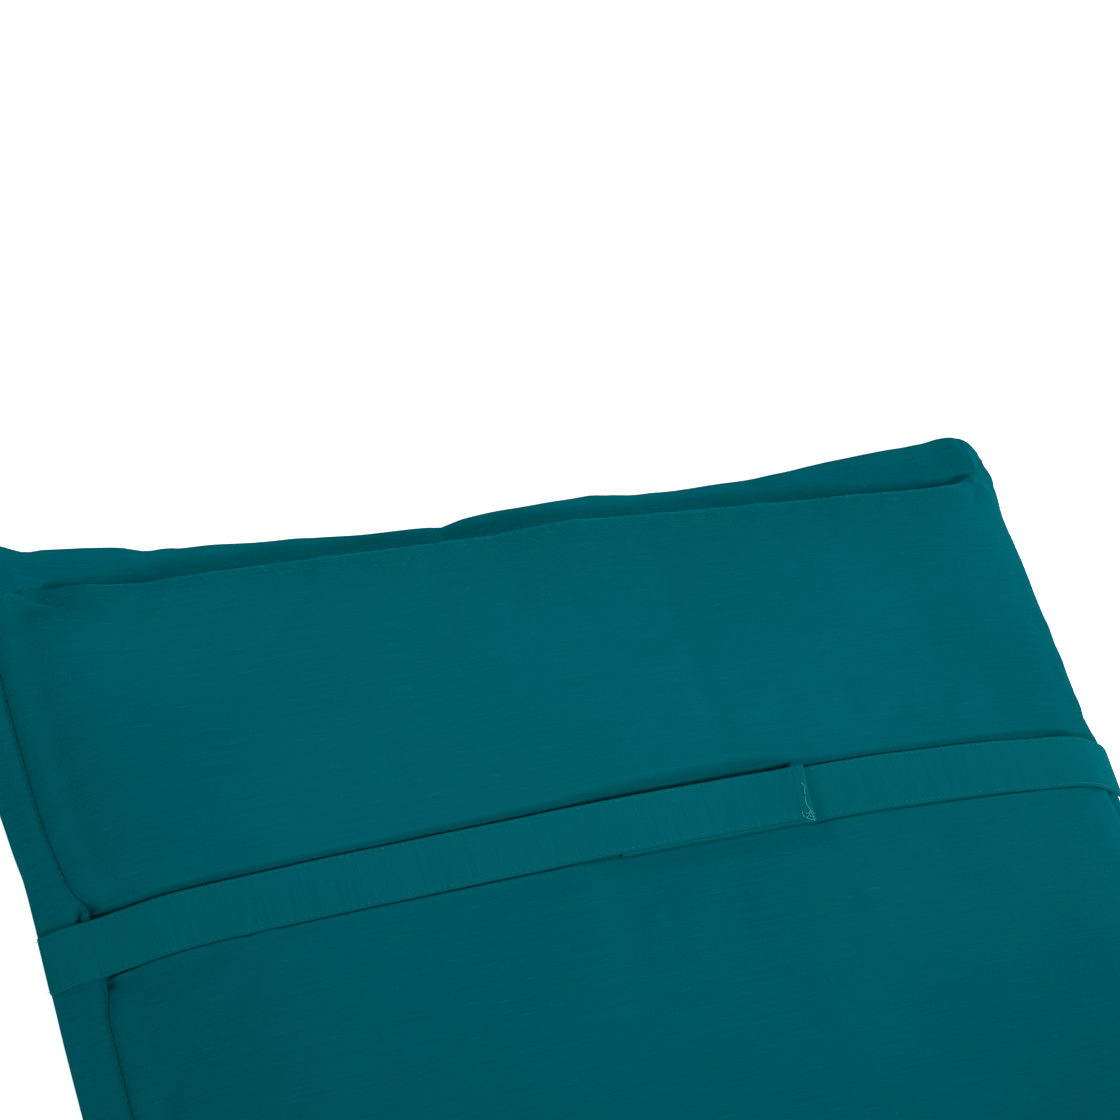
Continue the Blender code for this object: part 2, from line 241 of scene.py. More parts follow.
# Folds that stand up in the head flange
Tuck = namedtuple("Tuck", "across along height left right lean reach")
TUCKS = (
    Tuck(-50.5, 10.0, 4.2, 20.0, 3.6, -0.10, 40.0),
    Tuck(-206.0, 2.0, 1.8, 14.0, 6.0, 0.20, 40.0),
    Tuck(-118.0, 4.0, 1.4, 12.0, 7.0, 0.15, 40.0),
    Tuck(60.0, 2.0, 1.8, 16.0, 8.0, 0.10, 40.0),
    Tuck(150.0, 4.0, 1.3, 10.0, 12.0, -0.20, 40.0),
    Tuck(241.0, 4.0, 1.4, 6.0, 9.0, -0.30, 40.0),
    Tuck(274.0, 8.0, 3.2, 8.0, 4.6, 0.04, 34.0),
)

# Loose thread ends at the left strap's end, in shares of its width and in millimetres
Fray = namedtuple("Fray", "across start stop slide curl")
FRAYS = (
    Fray(0.42, -1.2, -0.4, 7.0, 0.8),
    Fray(0.60, -0.8, 0.2, 8.0, -0.7),
    Fray(0.72, -2.4, 1.6, 3.0, 1.0),
    Fray(0.80, -4.2, 0.6, 2.5, -1.2),
    Fray(0.84, -0.6, 1.8, 3.6, 0.9),
    Fray(0.90, -3.0, 1.0, -1.6, 0.7),
)

# How much of the flange's fall comes right beside the seam, 0 for an even slope
SIDE_DROOP = 0.2
END_DROOP = 1.0

# How far the middle of the side flanges stands up between edge and seam
LEFT_PUFF = 3.0
RIGHT_PUFF = 2.2

# The slant of the gathers, in millimetres per millimetre, and of the streaks of painted highlight on the
# fine wrinkles by the ends' seams
GATHER_SLANT = 0.55
WRINKLE_SLANT = math.radians(25)

# The channel that the seams pull in. On the left it has a broad part too, and less of the narrow one
SEAM_GROOVE = 2.4
SEAM_GROOVE_REACH = 3.6
LEFT_GROOVE = 2.2
LEFT_GROOVE_REACH = 9.5
LEFT_GROOVE_START = 30.0
LEFT_NARROW_LOSS = 0.45

# The crease at the strap's head edge: depth, distance and width in shares of the gap there
STRAP_BITE = 0.92
BITE_PLACE = 0.42
BITE_WIDTH = 0.46

# The padding's rise beside the strap: a share of it right at the strap, the rest over a longer reach
GAP_START = 0.8
HEAD_STEP = 0.78
HEAD_SLOPE = 0.22
HEAD_SLOPE_REACH = 20.0
FOOT_STEP = 0.55
FOOT_STEP_LOSS = 0.45
FOOT_WALL = (0.1, 0.9)
FOOT_SLOPE_START = 0.2
FOOT_SLOPE_REACHES = (15.0, 50.0)

# How much narrower each half of the strap looks than its full width, how far the padding takes from
# one width to the other, and how far in the strap's edges are rounded
LEFT_TRIM = 2.3
RIGHT_TRIM = 1.3
TRIM_STEP = 1.5
STRAP_ROUND = 0.8

# The outline's corners, and the padding's at the seams' corners
CORNER_REACH = 60.0
CORNER_ROUNDNESS = 4.5
CORNER_FULLNESS = 3.5

# Near the corners the padding rises slowly inside the ends' seams, on the left most of all
CORNER_SOFT_FROM = 236.0
CORNER_SOFT_TO = 262.0
CORNER_SOFT_REACH = 26.0
LEFT_SOFTNESS = 0.92
RIGHT_SOFTNESS = 0.25

# How far inside the seam the uneven edges still move the grid, and the firm places are faded out
SHIFT_REACH = 104.0
BUMP_FADE = 14.0

# The strap: its gap to what it lies on, where it is sewn down, how the left half's end slants and
# lifts, and how the right half dips just past it
STRAP_REST_GAP = 0.2
SEWN_DOWN = 279.5
STRAP_STEP = 3.0
LEFT_END_SLANT = -2.8
END_SLANT_REACH = 24.0
END_LIFT = 2.6
END_LIFT_REACH = 16.0
END_DIP = 2.6
END_DIP_PLACE = 2.4
END_DIP_REACH = 4.4
STRAP_PITCH = 2.0

# The strap's surface: the groove of the topstitch, the wander of the edges and the pucker between them
STITCH_GROOVE = 0.22
STITCH_GROOVE_REACH = 0.6
EDGE_WANDER = 0.45
STRAP_PUCKER = 0.16
TOPSTITCH_ROW = 5

# Noise seed, slant of the end and trim of each half
RIGHT_HALF = (11.0, 0.0, RIGHT_TRIM)
LEFT_HALF = (23.0, LEFT_END_SLANT, LEFT_TRIM)

# The cover's cloth: its ease over the padding, and how far its simulation may move a point
COVER_EASE = 0.02
SETTLE_FRAMES = 20
WRINKLE_LIMIT = 0.5
SMOOTHING_PASSES = 40
HELD_BELOW = 0.12
CLOTH_SETTINGS = {
    "quality": 6,
    "mass": 0.1,
    "tension_stiffness": 12.0,
    "compression_stiffness": 12.0,
    "shear_stiffness": 4.0,
    "bending_stiffness": 0.06,
    "shrink_min": -COVER_EASE,
    "shrink_max": -COVER_EASE,
    "use_pressure": True,
    "uniform_pressure_force": 4.0,
}

# The weave as it is drawn, in metres
WEAVE_PITCH = 0.0011

# The stage: half the floor's side and its level in metres, its own light, and the room's
FLOOR_HALF = 12.0
FLOOR_LEVEL = -0.0012
FLOOR_GLOW = 0.8
ROOM_LIGHT = 0.4

# Soft lights: where each stands and what it faces, its side in metres, watts and spread in degrees
Softbox = namedtuple("Softbox", "name place target size power spread")
SOFTBOXES = (
    Softbox("softbox_key", (0.3, -0.25, 2.2), (-0.06, 1.35, 0.05), 0.5, 4.35, 42),
    Softbox("softbox_side", (2.1, 0.85, 0.3), (0.2, 0.85, 0.05), 0.6, 11.0, 150),
    Softbox("softbox_foot", (0.1, -0.6, 1.7), (0.0, -0.62, 0.05), 0.5, 1.7, 52),
    Softbox("softbox_back", (0.1, 2.7, 0.42), (0.0, 0.98, 0.03), 0.6, 0.6, 60),
)

# Rows of points beside each edge of the strap, from well outside it to a little under it
STRAP_ROWS = np.array([26.0, 21.5, 17.5, 14.0, 11.3, 9.2, 7.6, 6.3, 5.2, 4.3, 3.5, 2.8, 2.2, 1.7, 1.2,
                       0.7, 0.2, -0.6, -3.0, -8.0])


def srgb(code):
    """Linear RGBA from an sRGB hex colour."""
    parts = [int(code[place:place + 2], 16) / 255 for place in (1, 3, 5)]
    return [part / 12.92 if part <= 0.04045 else ((part + 0.055) / 1.055) ** 2.4 for part in parts] + [1.0]


def length_setting(name, description, default):
    """Setting for a length, in metres."""
    return bpy.props.FloatProperty(
        name=name, description=description, default=default, unit="LENGTH", subtype="DISTANCE")


def colour_setting(name, description, code):
    """Setting for a colour, from its sRGB hex code."""
    return bpy.props.FloatVectorProperty(
        name=name, description=description, size=4, subtype="COLOR", default=srgb(code))


class CushionSizes(bpy.types.PropertyGroup):
    """Sizes of the filled body and its flange."""

    width: length_setting("Width", "Across the flange, before the sides are drawn in", 0.6)
    length: length_setting("Length", "From the head edge to the foot edge", 2.0)
    side_flange: length_setting("Side flange", "Width in plan of the flange along the sides", 0.02)
    head_flange: length_setting("Head flange", "Width in plan of the flange at the ends", 0.028)
    cloth_pair: length_setting("Flange thickness", "Two cloths with their turned edges", 0.0024)
    crown: length_setting("Crown", "Height of the padding over the surface it lies on", 0.073)
    seam_height: length_setting("Seam height", "Height of the seam over the surface", 0.022)
    pucker: length_setting("Pucker", "Depth of the gathers along the seam", 0.0005)
    flange_wave: length_setting("Flange wave", "How far the flange's edge waves up and down", 0.0014)
    swell: length_setting("Swell", "Slow unevenness of the padding", 0.0012)
    fill: bpy.props.FloatProperty(
        name="Fill", description="How tight the padding fills the cover", default=0.75, min=0, max=1)


class StrapSizes(bpy.types.PropertyGroup):
    """Sizes of the two halves of the fixing strap."""

    from_head: length_setting("From the head", "Head edge to the strap's near edge", 0.189)
    width: length_setting("Width", "Width of the strap", 0.03)
    thickness: length_setting("Thickness", "Folded and topstitched cloth", 0.0019)
    left_end: length_setting("Left end", "Where the upper, left half ends, from the middle", 0.074)
    right_end: length_setting("Right end", "Where the lower, right half ends, from the middle", -0.032)


class SewingSizes(bpy.types.PropertyGroup):
    """Sizes of the stitches."""

    pitch: length_setting("Pitch", "From one stitch to the next", 0.0034)
    stitch: length_setting("Stitch", "Length of thread that shows in one stitch", 0.0026)
    thread: length_setting("Thread", "Thickness of the thread", 0.00038)
    inset: length_setting("Inset", "Topstitch from the strap's edge", 0.0017)


class ClothColours(bpy.types.PropertyGroup):
    """Colours of cloth and thread."""

    cover: colour_setting("Cover", "Ground colour of the cover", "#00555f")
    strap: colour_setting("Strap", "Ground colour of the strap", "#015861")
    slub: colour_setting("Slub", "Thick places of the yarn, which catch more light", "#04707a")
    thread: colour_setting("Thread", "Sewing thread", "#03666f")
    sunk: colour_setting(
        "Seam thread", "The same thread sunk in the seam, where little light comes", "#02535c")
    frayed: colour_setting(
        "Frayed thread", "Loose ends of thread, whose fine hairs catch the light", "#2b949b")


class StageSizes(bpy.types.PropertyGroup):
    """Camera, light and floor."""

    focal: bpy.props.FloatProperty(
        name="Focal length", description="In millimetres, on a 36 mm sensor", default=98.96)
    camera_place: bpy.props.FloatVectorProperty(
        name="Camera place", description="In the cushion's frame",
        size=3, subtype="TRANSLATION", unit="LENGTH", default=(-0.6836, 0.4252, 1.3437))
    azimuth: bpy.props.FloatProperty(
        name="Azimuth", description="Where the camera stands, round the vertical",
        subtype="ANGLE", unit="ROTATION", default=math.radians(-52.49))
    elevation: bpy.props.FloatProperty(
        name="Elevation", description="How steeply the camera looks down",
        subtype="ANGLE", unit="ROTATION", default=math.radians(56.59))
    roll: bpy.props.FloatProperty(
        name="Roll", description="Turn about the line of sight",
        subtype="ANGLE", unit="ROTATION", default=math.radians(39.81))
    floor: colour_setting("Floor", "Colour of the floor", "#f7f7f6")


def curve_through(rows, key, value, places):
    """Values at places along a table, on a smooth curve that never overshoots its rows."""
    knots = np.array([getattr(row, key) for row in rows])
    heights = np.array([getattr(row, value) for row in rows])
    step = np.diff(knots)
    slope = np.diff(heights) / step
    product = slope[:-1] * slope[1:]
    total = np.where(product > 0, slope[:-1] + slope[1:], 1.0)
    tangent = np.zeros_like(heights)
    tangent[1:-1] = np.where(product > 0, 2 * product / total, 0.0)
    places = np.clip(places, knots[0], knots[-1])
    index = np.clip(np.searchsorted(knots, places, side="right") - 1, 0, len(step) - 1)
    share = (places - knots[index]) / step[index]
    bend = share * (1 - share) * step[index]
    ease = share * share * (3 - 2 * share)
    return (heights[index] + (heights[index + 1] - heights[index]) * ease
            + bend * ((1 - share) * tangent[index] - share * tangent[index + 1]))


def fade(distance, start, end):
    """1 up to start, 0 from end on, smooth between."""
    share = np.clip((distance - start) / (end - start), 0.0, 1.0)
    return 1 - share * share * (3 - 2 * share)


def ripple(across, along, across_size, along_size, seed):
    """Smooth noise from -1 to 1 over a grid, with its own size in each direction."""
    flat = [noise.noise(Vector((a / across_size, b / along_size, seed)))
            for a, b in zip(np.ravel(across), np.ravel(along))]
    return np.array(flat).reshape(np.shape(across))


Stations = namedtuple("Stations", "place near far")


def edge_stations(flange, total, middle):
    """Places from one outer edge to the other, with the share of the near and far flange."""
    shares = np.array([0.0, 0.02, 0.05, 0.1, 0.2, 0.32, 0.45, 0.58, 0.7, 0.8, 0.88, 0.94])
    insets = np.array([0.0, 0.6, 1.3, 2.1, 3.1, 4.3, 5.7, 7.2, 8.8, 10.5, 12.3, 14.3, 16.5, 19.0,
                       22.0, 25.5, 29.5])
    middle = middle[(middle > flange + insets[-1] + 2) & (middle < total - flange - insets[-1] - 2)]
    near = flange * shares
    body = np.concatenate([flange + insets, middle, total - flange - insets[::-1]])
    place = np.concatenate([near, body, total - near[::-1]])
    full = np.ones(len(body))
    near_share = np.concatenate([shares, full, np.ones(len(shares))])
    far_share = np.concatenate([np.ones(len(shares)), full, shares[::-1]])
    return Stations(place, near_share, far_share)


class CushionForm:
    """The cushion's shape worked out on a grid, rows along and columns across."""

    def __init__(self, sizes, strap):
        self.width = sizes.width / MM
        self.length = sizes.length / MM
        self.side = sizes.side_flange / MM
        self.head = sizes.head_flange / MM
        self.pair = sizes.cloth_pair / MM
        self.crown = sizes.crown / MM
        self.seam = sizes.seam_height / MM
        self.pucker = sizes.pucker / MM
        self.wave = sizes.flange_wave / MM
        self.swell = sizes.swell / MM
        self.strap_from = strap.from_head / MM
        self.strap_to = (strap.from_head + strap.width) / MM - RIGHT_TRIM
        self.right_end = strap.right_end / MM
        self.columns = edge_stations(self.side, self.width, self.middle_columns())
        self.rows = edge_stations(self.head, self.length, self.middle_rows())
        self.across = self.columns.place - self.width / 2
        self.along = self.rows.place
        self.x, self.y = self.plan()
        self.flange = self.flange_share()

    def middle_columns(self):
        """Columns 4.4 mm apart."""
        return np.arange(self.side, self.width - self.side, 4.4)

    def middle_rows(self):
        """Rows close together at the strap's edges and wide apart towards the foot."""
        gaps = np.concatenate([np.full(115, 4.0), np.linspace(4.5, 22.0, 20), np.full(100, 22.0)])
        even = self.head + np.cumsum(gaps)
        reach = STRAP_ROWS[0] + 2
        even = even[(even < self.strap_from - reach) | (even > self.strap_to + reach)]
        close = np.concatenate([self.strap_from - STRAP_ROWS, self.strap_to + STRAP_ROWS[::-1]])
        return np.sort(np.concatenate([even, close]))

    def inset(self, stations, flange, total):
        """Distance inside the nearer seam, 0 on the flange."""
        return np.maximum(np.minimum(stations.place, total - stations.place) - flange, 0.0)

    def plan(self):
        """Places in plan of all grid points, with uneven edges and rounded corners."""
        x = np.tile(self.across, (len(self.along), 1))
        y = np.tile(self.along[:, None], (1, len(self.across)))
        side_faders = (
            (LEFT_SIDE, self.columns.near, self.columns.place - self.side, -1),
            (RIGHT_SIDE, self.columns.far, self.width - self.columns.place - self.side, 1))
        for rows, share, inset, sign in side_faders:
            edge = curve_through(rows, "along", "edge", self.along)[:, None]
            seam = curve_through(rows, "along", "seam", self.along)[:, None]
            x = x + sign * (edge + (seam - edge) * share) * fade(np.maximum(inset, 0), 0, SHIFT_REACH)
        end_faders = (
            (HEAD_END, self.rows.near, self.rows.place - self.head, -1),
            (FOOT_END, self.rows.far, self.length - self.rows.place - self.head, 1))
        for rows, share, inset, sign in end_faders:
            edge = curve_through(rows, "across", "edge", self.across)
            seam = curve_through(rows, "across", "seam", self.across)
            shift = edge + (seam - edge) * share[:, None]
            y = y + sign * shift * fade(np.maximum(inset, 0), 0, SHIFT_REACH)[:, None]
        return self.round_corners(x, y)

    def round_corners(self, x, y):
        """Pull the points near the corners inwards, so that the outline turns on a curve."""
        inner_x = self.width / 2 - CORNER_REACH
        inner_y = self.length / 2 - CORNER_REACH
        middle_y = y - self.length / 2
        over_x = np.maximum(np.abs(x) - inner_x, 1e-6)
        over_y = np.maximum(np.abs(middle_y) - inner_y, 1e-6)
        longest = np.maximum(over_x, over_y)
        power = (over_x / longest) ** CORNER_ROUNDNESS + (over_y / longest) ** CORNER_ROUNDNESS
        pull = power ** (-1 / CORNER_ROUNDNESS)
        corner = (np.abs(x) > inner_x) & (np.abs(middle_y) > inner_y)
        new_x = np.where(corner, np.sign(x) * (inner_x + over_x * pull), x)
        new_y = np.where(corner, np.sign(middle_y) * (inner_y + over_y * pull), middle_y)
        return new_x, new_y + self.length / 2

    def flange_share(self):
        """1 on the body, less on the flange, 0 on its outer edge."""
        columns = np.minimum(self.columns.near, self.columns.far)
        rows = np.minimum(self.rows.near, self.rows.far)
        return np.minimum(columns[None, :], rows[:, None])

    def fullness(self, left, right, end):
        """Rise of the padding, 0 at the seam and 1 at the crown, rounded where edges meet."""
        column_inset = self.inset(self.columns, self.side, self.width)
        row_inset = self.inset(self.rows, self.head, self.length)
        p_left = curve_through(RISES, "inset", left, column_inset)
        p_right = curve_through(RISES, "inset", right, column_inset)
        p = np.where(self.across < 0, p_left, p_right)[None, :]
        q = curve_through(RISES, "inset", end, row_inset)[:, None]
        inside = (p > 0) & (q > 0)
        p = np.where(inside, p, 1.0)
        q = np.where(inside, q, 1.0)
        joined = (p ** -CORNER_FULLNESS + q ** -CORNER_FULLNESS - 1) ** (-1 / CORNER_FULLNESS)
        return np.where(inside, joined, 0.0)

    def gentle_corners(self):
        """Share of the padding's rise that is left beside the ends' seams near the corners."""
        near_corner = 1 - fade(np.abs(self.across), CORNER_SOFT_FROM, CORNER_SOFT_TO)
        softness = np.where(self.across < 0, LEFT_SOFTNESS, RIGHT_SOFTNESS)
        return 1 - softness * near_corner * fade(self.inset_ends(), 0.0, CORNER_SOFT_REACH)

    def flange_drop(self):
        """How far the flange hangs below the seam."""
        total = 0.0
        weighted = 0.0
        left = curve_through(LEFT_SIDE, "along", "height", self.along)[:, None]
        right = curve_through(RIGHT_SIDE, "along", "height", self.along)[:, None]
        head = curve_through(HEAD_END, "across", "height", self.across)[None, :]
        foot = curve_through(FOOT_END, "across", "height", self.across)[None, :]
        sides = (
            (1 - self.columns.near[None, :], left, SIDE_DROOP),
            (1 - self.columns.far[None, :], right, SIDE_DROOP),
            (1 - self.rows.near[:, None], head, END_DROOP),
            (1 - self.rows.far[:, None], foot, END_DROOP))
        for weight, height, droop in sides:
            total = total + weight
            sloping = weight + (np.sin(weight * math.pi / 2) - weight) * droop
            weighted = weighted + weight * sloping * (self.seam - height)
        return np.where(total > 0, weighted / np.maximum(total, 1e-9), 0.0)

    def released(self):
        """How far the padding is back at its free height: 0 under the strap, 1 well away from it."""
        before = self.strap_from - self.y
        beside_end = fade(self.x, self.right_end - TRIM_STEP, self.right_end + TRIM_STEP)
        after = self.y - self.strap_to + (LEFT_TRIM - RIGHT_TRIM) * beside_end
        gap = curve_through(STRAP_GAPS, "across", "gap", self.x)
        proud = curve_through(STRAP_GAPS, "across", "proud", self.x)
        towards_head = (HEAD_STEP * (1 - fade(before, gap * GAP_START, gap * 1.35 + 1.5))
                        + HEAD_SLOPE * (1 - fade(before, gap * GAP_START, gap + HEAD_SLOPE_REACH)))
        step = FOOT_STEP - FOOT_STEP_LOSS * proud
        slope = sum(0.5 * (1 - fade(after, FOOT_SLOPE_START, reach)) for reach in FOOT_SLOPE_REACHES)
        towards_foot = step * (1 - fade(after, *FOOT_WALL)) + (1 - step) * slope
        return np.where(before > 0, towards_head, np.where(after > -0.3, towards_foot, 0.0))

    def bite(self):
        """Depth of the crease that the strap's head edge cuts into the padding."""
        before = self.strap_from - self.y
        gap = curve_through(STRAP_GAPS, "across", "gap", self.x)
        crease = np.exp(-((before - gap * BITE_PLACE) / (gap * BITE_WIDTH)) ** 2)
        return STRAP_BITE * gap * crease * (before > -1)

    def mounds(self, places):
        """Height over the grid of places that rise smoothly on all sides."""
        height = 0.0
        for place in places:
            across = (self.x - place.across) / place.wide
            along = (self.y - place.along) / place.long
            height = height + place.height * np.exp(-across ** 2 - along ** 2)
        return height

    def inset_sides(self):
        """Distance inside the nearer side's seam, 0 on the side flanges."""
        return self.inset(self.columns, self.side, self.width)[None, :]

    def inset_ends(self):
        """Distance inside the nearer end's seam, 0 on the end flanges."""
        return self.inset(self.rows, self.head, self.length)[:, None]

    def groove(self):
        """Depth of the channel that the seam pulls in, broader and softer along the left side."""
        outside = (1 - self.flange) * self.side
        inside = np.minimum(self.inset_sides(), self.inset_ends())
        distance = np.where(self.flange < 1, outside, inside)
        left = (self.across < 0) & (self.inset_ends() > 0)
        started = 1 - fade(self.inset_ends(), 0, LEFT_GROOVE_START)
        broad = LEFT_GROOVE * np.exp(-(distance / LEFT_GROOVE_REACH) ** 2) * started
        narrow = SEAM_GROOVE * np.exp(-(distance / SEAM_GROOVE_REACH) ** 2)
        return narrow * (1 - LEFT_NARROW_LOSS * left) + broad * left

    def tucks(self):
        """Height of the folds that stand up in the flange, each steeper on one side."""
        height = 0.0
        for tuck in TUCKS:
            offset = self.x - tuck.across - tuck.lean * (self.y - self.head)
            rising = np.exp(-(np.minimum(offset, 0) / tuck.left) ** 2)
            falling = np.exp(-(np.maximum(offset, 0) / tuck.right) ** 2)
            near = fade(np.abs(self.y - tuck.along), 0.0, tuck.reach)
            height = height + tuck.height * rising * falling * near
        return height

    def upper(self):
        """Heights of the back panel, the face with the strap."""
        full = self.fullness("left", "right", "end") * self.gentle_corners()
        free = self.seam + (self.crown - self.seam) * full
        pressed = curve_through(BAND_LINE, "across", "height", self.x)
        body = pressed + (free - pressed) * self.released() - self.bite()
        puff = np.where(self.across < 0, LEFT_PUFF, RIGHT_PUFF)
        puffed = puff * np.sin(self.flange * math.pi) ** 2 * (1 - fade(self.inset_ends(), 6.0, 60.0))
        flange = self.seam - self.flange_drop() + puffed + self.tucks() * fade(self.flange, 0.6, 1.0)
        inside = np.minimum(self.inset_sides(), self.inset_ends())
        raised = self.mounds(BUMPS) * (1 - fade(inside, 0.0, BUMP_FADE))
        return np.where(self.flange < 1, flange, body + raised) - self.groove() - self.mounds(PITS)

    def lower(self):
        """Heights of the front panel, which lies on the surface."""
        full = self.fullness("under", "under", "under")
        body = np.maximum((self.seam - self.pair) * (1 - full), 0.0)
        return np.where(self.flange < 1, self.upper() - self.pair, body)


def to_metres(form, x, along, height):
    """Points in the packed model's frame from millimetres across, along and up."""
    return np.stack([x * MM, (form.length / 2 - along) * MM, height * MM], axis=-1)


def surface_normals(points):
    """Upward unit normals of a grid of points, rows along and columns across."""
    normal = np.cross(np.gradient(points, axis=1), -np.gradient(points, axis=0))
    return normal / np.maximum(np.linalg.norm(normal, axis=-1, keepdims=True), 1e-12)


def run_lengths(line):
    """Distance of each point of a line from its first point, along the line."""
    return np.insert(np.cumsum(np.linalg.norm(np.diff(line, axis=0), axis=1)), 0, 0.0)


def straight_threads(points):
    """UVs in metres that keep each thread of the cloth straight along its row or column."""
    rows, columns = points.shape[:2]
    across = run_lengths(points[rows // 2])
    along = run_lengths(points[:, columns // 2])
    return np.stack(np.meshgrid(across, along), axis=-1)


def grid_faces(rows, columns, first, flipped):
    """Corner numbers of the quads of a grid, facing up unless flipped."""
    number = np.arange(rows * columns).reshape(rows, columns) + first
    corners = [number[1:, :-1], number[1:, 1:], number[:-1, 1:], number[:-1, :-1]]
    if flipped:
        corners.reverse()
    return np.stack([np.ravel(corner) for corner in corners], axis=-1)


def outline_numbers(rows, columns):
    """Numbers of the grid points round the outline, once round."""
    number = np.arange(rows * columns).reshape(rows, columns)
    return np.concatenate([number[0, :-1], number[:-1, -1], number[-1, :0:-1], number[:0:-1, 0]])


def mesh_of_two_faces(name, upper, lower, turned=False):
    """Closed mesh of two grids of points joined round their outline; turned cloth is cut lengthwise."""
    rows, columns = upper.shape[:2]
    count = rows * columns
    points = np.concatenate([upper.reshape(-1, 3), lower.reshape(-1, 3)])
    ring = outline_numbers(rows, columns)
    following = np.roll(ring, -1)
    wall = np.stack([ring, following, following + count, ring + count], axis=-1)
    faces = np.concatenate([
        grid_faces(rows, columns, 0, False), grid_faces(rows, columns, count, True), wall])
    mesh = bpy.data.meshes.new(name)
    mesh.from_pydata(points.tolist(), [], faces.tolist())
    cloth = straight_threads(upper).reshape(-1, 2)
    if turned:
        cloth = cloth[:, ::-1]
    layer = mesh.uv_layers.new(name=UV_NAME)
    corners = np.zeros(len(mesh.loops), dtype=np.int32)
    mesh.loops.foreach_get("vertex_index", corners)
    layer.uv.foreach_set("vector", np.concatenate([cloth, cloth])[corners].astype(np.float32).ravel())
    mesh.polygons.foreach_set("use_smooth", [True] * len(mesh.polygons))
    mesh.validate()
    return mesh


def add_piece(name, mesh, material):
    """Object at the origin for a finished mesh."""
    mesh.materials.clear()
    mesh.materials.append(material)
    piece = bpy.data.objects.new(name, mesh)
    bpy.context.scene.collection.objects.link(piece)
    return piece


def declare(piece):
    """Every piece rides with the cushion."""
    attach(piece, BODY)


def add_node(tree, kind, settings=None, inputs=None):
    """Add one node: settings are its properties, inputs are socket values or sockets to link."""
    made = tree.nodes.new(kind)
    for name, value in (settings or {}).items():
        setattr(made, name, value)
    for name, value in (inputs or {}).items():
        if isinstance(value, bpy.types.NodeSocket):
            tree.links.new(value, made.inputs[name])
        else:
            made.inputs[name].default_value = value
    return made


